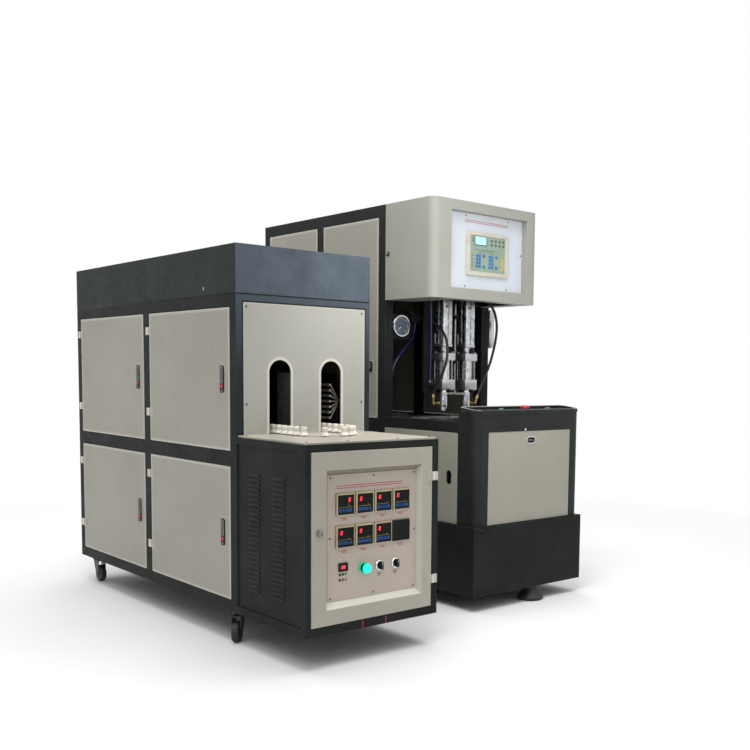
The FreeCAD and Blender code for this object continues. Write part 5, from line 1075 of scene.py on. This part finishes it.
def make_stretch_cylinders():
    """Stretch cylinders: grooved tubes, end caps with bolts, neck, rear bracket and a brass port."""
    shape = Shape(PRESS)
    for x in BLOW_X:
        shape.slab(extrusion(x, BLOW_Y, STRETCH_HALF), STRETCH_CAPS[0][1], STRETCH_CAPS[1][0])
        for z0, z1 in STRETCH_CAPS:
            low, high = about(x, STRETCH_CAP_HALF, z0, z1)
            shape.box(low, high, 2.2, 1)
            for bolt in four_about(x, STRETCH_BOLT, z1):
                shape.turned(((0, 4), (1.2, 4), (2, 3.2), (2, 0)), bolt, Z, 12, 2)
        shape.turned(((0, 14), (20, 14), (21, 17.5), (28, 17.5)), (x, BLOW_Y, 1057), Z, 36, 1)
        shape.box((x - 28, BLOW_Y + 26, 1086), (x + 28, BLOW_Y + 37, 1145), 1, 1)
        shape.turned(((0, 5.2), (7, 5.2), (8, 4.4), (12, 4.4)), (x - 8, BLOW_Y - 27.5, 1262), -Y, 20, 3)
    materials = (bright_alu, cast_alu, steel, brass)
    shape.piece("stretch_cylinder_tubes", MACHINE, materials, "aluminium", ("stretch_cylinders",))


def make_seal_cylinders():
    """Seal cylinders between square heads, with tie rods, nuts, ribs on the lower head and an elbow."""
    seal = Shape(PRESS)
    (foot_z, tube_z), (_, top_z) = SEAL_HEADS
    for x, side, port_x, port_z in ((BLOW_X[0], -1, 178, 925), (BLOW_X[1], 1, 440, 1046)):
        for z0, z1 in SEAL_HEADS:
            low, high = about(x, SEAL_HEAD_HALF, z0, z1)
            seal.box(low, high, 2, 1)
        seal.turned(((-1, 29.6), (85, 29.6)), (x, BLOW_Y, tube_z), Z, 48)
        for cx, cy, rod_z in four_about(x, SEAL_ROD, tube_z):
            seal.turned(((-1, 4.6), (85, 4.6)), (cx, cy, rod_z), Z, 16, 2)
            seal.turned(((0, 8), (6, 8), (6.8, 6.8), (9.5, 4.6), (9.5, 0)), (cx, cy, top_z), Z, 6, 2)
            seal.turned(((0, 7.4), (5, 7.4)), (cx, cy, foot_z), -Z, 6, 2)
        for z in SEAL_RIBS:
            seal.box((x - 36, BLOW_Y - 37.6, z), (x + 36, BLOW_Y - 36.6, z + 2.2), 0.3, 2)
        x0, x1 = sorted((x + side * 36.5, port_x + side * 7))
        seal.box((x0, -107, port_z - 14), (x1, -93, port_z), 1.6, 3)
        elbow = ((0, 7.4), (4, 7.4), (4.8, 6.4), (9, 6.2), (10, 5.2))
        seal.turned(elbow, (port_x, -100, port_z - 1), Z, 24, 2)
    materials = (bright_alu, cast_alu, steel, black_plastic)
    seal.piece("seal_cylinder_bodies", MACHINE, materials, "aluminium", ("seal_cylinders",))


def make_guide():
    """Guide rod of the yoke between the cylinders, and the two blocks it slides in."""
    guides = Shape(PRESS)
    for z in GUIDE_Z:
        hole = around(GUIDE_X, BLOW_Y, 5.8, 5.8, 5.6, 4)
        guides.ring_slab(around(GUIDE_X, BLOW_Y, 12, 12, 3), hole, z, z + 18, 2)
        guides.box((309, -99, z + 1), (328, -72.5, z + 17), 1)
    guides.piece("guide_blocks", MACHINE, (frame_black,), "frame_black")
    rod = Shape(PRESS)
    rod.pin((GUIDE_X, BLOW_Y, 878), (GUIDE_X, BLOW_Y, 1278), 5.2, 24)
    rod.turned(((0, 9), (7, 9), (8, 7.6)), (GUIDE_X, BLOW_Y, 880), Z, 6)
    rod.piece("yoke_guide_rod", "blow_nozzles", (steel,), "steel")


NOZZLE = ((0, 12), (1, 13), (14.5, 19.6), (16, 20.3), (30, 20.3), (31, 19.2), (33, 19.2), (34, 20.3),
          (66, 20.3), (67, 19.4), (69, 19.4), (70, 20.3), (83, 20.3))
FITTING = ((0, 6.2), (8, 6.2), (8, 9), (17, 9), (17.6, 6.4), (30, 6.2), (41.5, 6.2))


def make_nozzles():
    """Blow nozzles with their seal lips and piston rods, the yoke, and the brass fittings."""
    shape = Shape(PRESS)
    for x in BLOW_X:
        shape.turned(NOZZLE, (x, BLOW_Y, 797), Z, 40)
        shape.turned(((0, 14.8), (108, 14.8), (110, 13.6)), (x, BLOW_Y, 880), Z, 32, 3)
    shape.box((BLOW_X[0], BLOW_Y - 15, 868), (BLOW_X[1], BLOW_Y + 15, 880), 1.2, 1)
    fittings = ((BLOW_X[0], -1, 190, 190, 850), (BLOW_X[1], 1, 446.54, 455.4, 849.4))
    for x, side, corner_x, end_x, end_z in fittings:
        corner = Vector((corner_x, BLOW_Y, 830))
        rise = Vector((end_x, BLOW_Y, end_z)) - corner
        riser = ((0, 6.3), (6, 6.3), (6, 8.2), (14, 8.2), (14.6, 6.6), (rise.length, 6.6))
        shape.turned(FITTING, (x + side * 18, BLOW_Y, 830), X * side, 6, 2)
        shape.turned(((-7.2, 4), (-6, 6.4), (6, 6.4), (7.2, 4)), corner, Y, 20, 2)
        shape.turned(riser, corner, rise, 6, 2)
    materials = (bright_alu, steel, brass, chrome)
    shape.piece("blow_nozzles_turned", "blow_nozzles", materials, "aluminium", ("blow_nozzles",))


def make_gauge():
    """Dial gauge: its plate, chrome case, face with ticks, and pointer."""
    x, y, z = GAUGE_X, GAUGE_Y, GAUGE_Z
    shape = Shape(PRESS)
    shape.box((20, y, 1116), (134, 0, 1226), 0.8, 3)
    case = ((0, 46), (16, 46), (18, 48), (22, 48), (24, 46.5), (24, 42.5), (21, 41.6), (18.5, 41.4))
    shape.turned(case, (x, y, z), -Y, 64)
    shape.turned(((17.5, 41.6), (18.6, 41.6)), (x, y, z), -Y, 64, 1)
    face_y = y - 18.6
    for tick in range(31):
        angle = math.radians(225 - tick * 9)
        inner, half = (31, 0.9) if tick % 5 == 0 else (34.5, 0.5)
        out = Vector((math.cos(angle), math.sin(angle)))
        side = Vector((-math.sin(angle), math.cos(angle))) * half
        ends = (out * inner - side, out * 38 - side, out * 38 + side, out * inner + side)
        shape.slab([(x + p.x, z + p.y) for p in ends], face_y - 0.3, face_y + 0.1, 1, 4)
    pointer = [(x + a, z + b) for a, b in ((-18, -20), (1.8, -1.6), (7, 8), (-1.8, 1.6))]
    shape.slab(pointer, face_y - 1.6, face_y - 0.8, 1, 4)
    shape.turned(((0, 4), (2, 4), (2.6, 3)), (x, face_y, z), -Y, 20, 2)
    for place in product((26, 128), (y,), (1122, 1220)):
        shape.turned(((0, 3), (1.6, 2.6), (2, 0)), place, -Y, 12, 3)
    materials = (chrome, dial_face, black_plastic, frame_black, white_plastic)
    shape.piece("pressure_gauge_dial", MACHINE, materials, "chrome", ("pressure_gauge",))


def make_filter():
    """Bowl of the air filter on the right post, with its head and plug."""
    bowl = Shape(PRESS)
    x, y = 659, 10
    profile = ((0, 4), (0, 7), (2, 9), (6, 15), (12, 18.6), (120, 18.8), (122, 17.4), (126, 17.4),
               (128, 18.8), (146, 18.8))
    bowl.turned(profile, (x, y, 1090), Z, 40)
    bowl.box((637, y - 18.8, 1236), (677.8, y + 18.8, 1272), 3, 1)
    bowl.turned(((0, 8), (3, 8), (4, 6.5)), (x, y, 1271), Z, 24, 2)
    bowl.piece("air_filter_bowl", MACHINE, (cast_alu, cast_alu, black_plastic), "aluminium", ("air_filter",))


# ---------------------------------------------------------------- console and feet
COLLAR_HIGH = 12
COLLAR_SIDE = ((0, 15.2), (11, 15.2))
SURROUND = ((0, 22), (1.4, 22), (2.2, 20.5), (2.2, 15.4), (0.05, 15.4))
STOP_HEAD = ((0, 15), (1, 19.4), (5.5, 19.9), (9, 19), (12, 15.5), (13.6, 9), (14, 0))
LIP_FRONT, LIP_BACK, LIP_LOW, LIP_HIGH = -595, -478, 818.3, 832
FOOT = ((0, 51), (2, 55), (6, 57.7), (10, 57.9), (15, 56.4), (20, 51.5), (26, 44.8), (32, 39), (38, 34),
        (44, 30.4), (50, 28), (56, 27.1), (61.9, 27))


def make_console():
    """Emergency stop, and the two hand buttons with pale surrounds."""
    stop = Shape(PRESS)
    place = (STOP_X, TRAY_Y, TRAY_FLOOR + COLLAR_HIGH + TRAVEL)
    stop.turned(((-11.8, 7.8), (0.5, 7.8)), place, Z, 24, 1)
    stop.turned(STOP_HEAD, place, Z, 40)
    stop.piece("e_stop_head", "e_stop", (stop_red, white_plastic), "plastic_red", ("e_stop",))
    collars = Shape(PRESS)
    top = ((12.2, 14), (12.2, 8.6), (0.1, 8.6))
    collars.turned(COLLAR_SIDE + top, (STOP_X, TRAY_Y, TRAY_FLOOR))
    for x in HAND_BUTTONS.values():
        top = ((12.2, 14.2), (12.2, 11.5), (0.1, 11.5))
        collars.turned(SURROUND, (x, TRAY_Y, TRAY_FLOOR))
        collars.turned(COLLAR_SIDE + top, (x, TRAY_Y, TRAY_FLOOR), mat=1)
    collars.piece("console_collars", MACHINE, (white_plastic, cream_plastic), "plastic_white")
    for name, x in HAND_BUTTONS.items():
        button = Shape(PRESS)
        cap = ((0, 10.9), (11.6, 10.9), (12.6, 10.2), (13, 8.6), (13, 0))
        button.turned(cap, (x, TRAY_Y, TRAY_FLOOR + TRAVEL + 1))
        button.piece(name + "_cap", name, (button_green,), "plastic_green", (name,))


def make_tray_lip():
    """Raised strip on the tray's rim; it rises to the back, and its upper part is pale with wear and a
    painted reflection.
    """
    lip = Shape(PRESS)
    outer = soft_rectangle(-3, LIP_FRONT, 640, LIP_BACK, 43, 10)
    inner = soft_rectangle(15, LIP_FRONT + 18, 622, LIP_BACK - 18, 25, 10)
    lip.ring_slab(outer, inner, LIP_LOW - 0.7, LIP_HIGH, 2)
    slope = (LIP_HIGH - LIP_LOW) / (LIP_BACK - LIP_FRONT)
    for vert in lip.bm.verts:
        if vert.co.z > LIP_LOW:
            vert.co.z = LIP_LOW + slope * (vert.co.y - PRESS.y - LIP_FRONT)
    for face in lip.bm.faces:
        face.material_index = int(min(vert.co.z for vert in face.verts) >= LIP_LOW)
    lip.piece("tray_lip", MACHINE, (frame_black, rim_wear_and_sheen), "frame_black")


def make_feet():
    """Turned rubber levelling feet of the press."""
    feet = Shape(PRESS)
    for x, y in ((367.5, -560), (60, -120), (577, -120), (60, 930), (577, 930)):
        feet.turned(FOOT, (x, y, 0), Z, 48)
    feet.piece("levelling_feet_turned", MACHINE, (rubber,), "rubber_black", ("levelling_feet",))


# ---------------------------------------------------------------- hoses, tubes and wires
HOSES = {
    "left": ((190, 4, 1215), (196, -60, 1215), (222, -152, 1150), (212, -186, 1050), (194, -164, 950),
             (190, -110, 893), (190, -110, 850)),
    "right": ((468.5, -67, 1325), (518, -80, 1318), (572, -95, 1282), (598, -100, 1205), (588, -100, 1115),
              (548, -103, 1005), (502, -107, 935), (472.2, -110, 886.2), (455.4, -110, 849.4)),
}
HOSE_R, TUBE_R, WIRE_R = 6, 4.5, 1.5
TUBES = {
    "left": ((178, -100, 1300), (184, -100, 1150), (180, -102, 1040), (178, -100, 925)),
    "right": ((440, -100, 1300), (444, -102, 1180), (440, -100, 1046)),
    "bay": ((54, 12, 968), (62, 12, 1006), (112, 14, 1064), (162, 18, 1112), (190, 22, 1154),
            (192, 22, 1195)),
}
WIRE_KNOT = (518, 120, 854)


def spline(name, points):
    """NURBS curve through control points given in layout millimetres."""
    data = bpy.data.curves.new(name, "CURVE")
    data.dimensions = "3D"
    data.resolution_u = 14
    line = data.splines.new("NURBS")
    line.points.add(len(points) - 1)
    for slot, point in zip(line.points, points):
        slot.co = (*row(point), 1)
    line.order_u = 3
    line.use_endpoint_u = True
    return put(name, data)


def centre_line(curve):
    """Points along a curve that has no bevel yet."""
    mesh = bpy.data.meshes.new_from_object(curve)
    points = [v.co.copy() for v in mesh.vertices]
    bpy.data.meshes.remove(mesh)
    return points


def length_of(points):
    return sum((b - a).length for a, b in zip(points, points[1:]))


def cord_curve(name, points, radius, material, slot, body=MACHINE, **facts):
    """Round cord that follows a spline."""
    curve = spline(name, points)
    length = length_of(centre_line(curve))
    curve.data.bevel_depth = radius * MM
    curve.data.bevel_resolution = 4
    curve.data.use_fill_caps = True
    curve.data.materials.append(material)
    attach(curve, body)
    return curve


def sweep(shape, path, radius, sides=20):
    """Round tube along a path of points in metres."""
    points, faces = [], []
    side = None
    for index, here in enumerate(path):
        ahead = path[min(index + 1, len(path) - 1)] - path[max(index - 1, 0)]
        ahead.normalize()
        side = ahead.orthogonal() if side is None else side - ahead * side.dot(ahead)
        side.normalize()
        over = ahead.cross(side)
        for step in range(sides):
            angle = 2 * math.pi * step / sides
            points.append(here / MM + ORIGIN + (side * math.cos(angle) + over * math.sin(angle)) * radius)
    for a in range(0, (len(path) - 1) * sides, sides):
        for step in range(sides):
            after = (step + 1) % sides
            faces.append((a + step, a + after, a + sides + after, a + sides + step))
    faces.append(list(range(sides))[::-1])
    faces.append(list(range((len(path) - 1) * sides, len(path) * sides)))
    shape.add(points, faces)


def make_hoses():
    """Black air hoses and their crimped sleeves; the lower sleeves ride on the nozzles."""
    for side, route in HOSES.items():
        points = [at_press(*p) for p in route]
        guide = spline("guide", points)
        path = centre_line(guide)
        bpy.data.objects.remove(guide)
        shape = Shape()
        sweep(shape, path, HOSE_R)
        name = "air_hose_" + side
        hose = shape.piece(name + "_line", MACHINE, (rubber,), "rubber_black", (name,), 60)
        hose.parent = None
        del hose["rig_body"]
        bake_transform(hose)
        upper, lower = Shape(), Shape()
        upper.turned(((0, 8), (3, 8.6), (20, 8.6), (22, 7.4)), points[0], points[1] - points[0], 20)
        upper.piece("hose_sleeve_top_" + side, MACHINE, (steel,), "steel")
        lower.turned(((0, 8.2), (3, 8.6), (18, 8.6), (20, 7.4)), points[-1], points[-2] - points[-1], 20)
        lower.piece("hose_sleeve_low_" + side, "blow_nozzles", (brass,), "brass")


def make_tubes():
    """Blue air tubes of the press."""
    for name, route in TUBES.items():
        points = [at_press(*p) for p in route]
        tube = cord_curve("air_tube_" + name, points, TUBE_R, tube_blue, "plastic_blue",
                          stiffness="stiff", lay="taut")
        if name == "bay":
            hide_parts("air_tubes")


def make_wires():
    """White wires from the lamp terminals to a clamp at the right arch."""
    x = LOOP_X + LAMP_REACH
    knot_x, knot_y, knot_z = WIRE_KNOT
    for index, z in enumerate(LAMP_LEVELS):
        fall = knot_z - z
        points = ((x, 73, z), (x + 14, 67, z + 0.50 * fall), (x + 48, 90, z + 0.92 * fall),
                  (knot_x, knot_y, knot_z + 2 * (index - 3)))
        cord_curve("lamp_wire_" + str(index + 1), points, WIRE_R, white_plastic, "plastic_white",
                   stiffness="limp", lay="taut")
    clamp = Shape()
    clamp.box((517, 112, 838), (524, 128, 870), 1)
    clamp.box((521, 112, 741), (524, 128, 842), 0.5)
    clamp.piece("wire_clamp", MACHINE, (frame_black,), "frame_black")


make_hoses()
make_tubes()
make_wires()
make_holders()
make_lamps()
make_heater_locks()
make_heater_trim()
make_louvre_slots()
make_meters()
make_timer()
make_legends()
make_controls()
make_door_knob()
make_casters()
make_press_fittings()
make_press_screws()
make_controller()
make_stretch_cylinders()
make_seal_cylinders()
make_guide()
make_nozzles()
make_gauge()
make_filter()
make_console()
make_tray_lip()
make_feet()
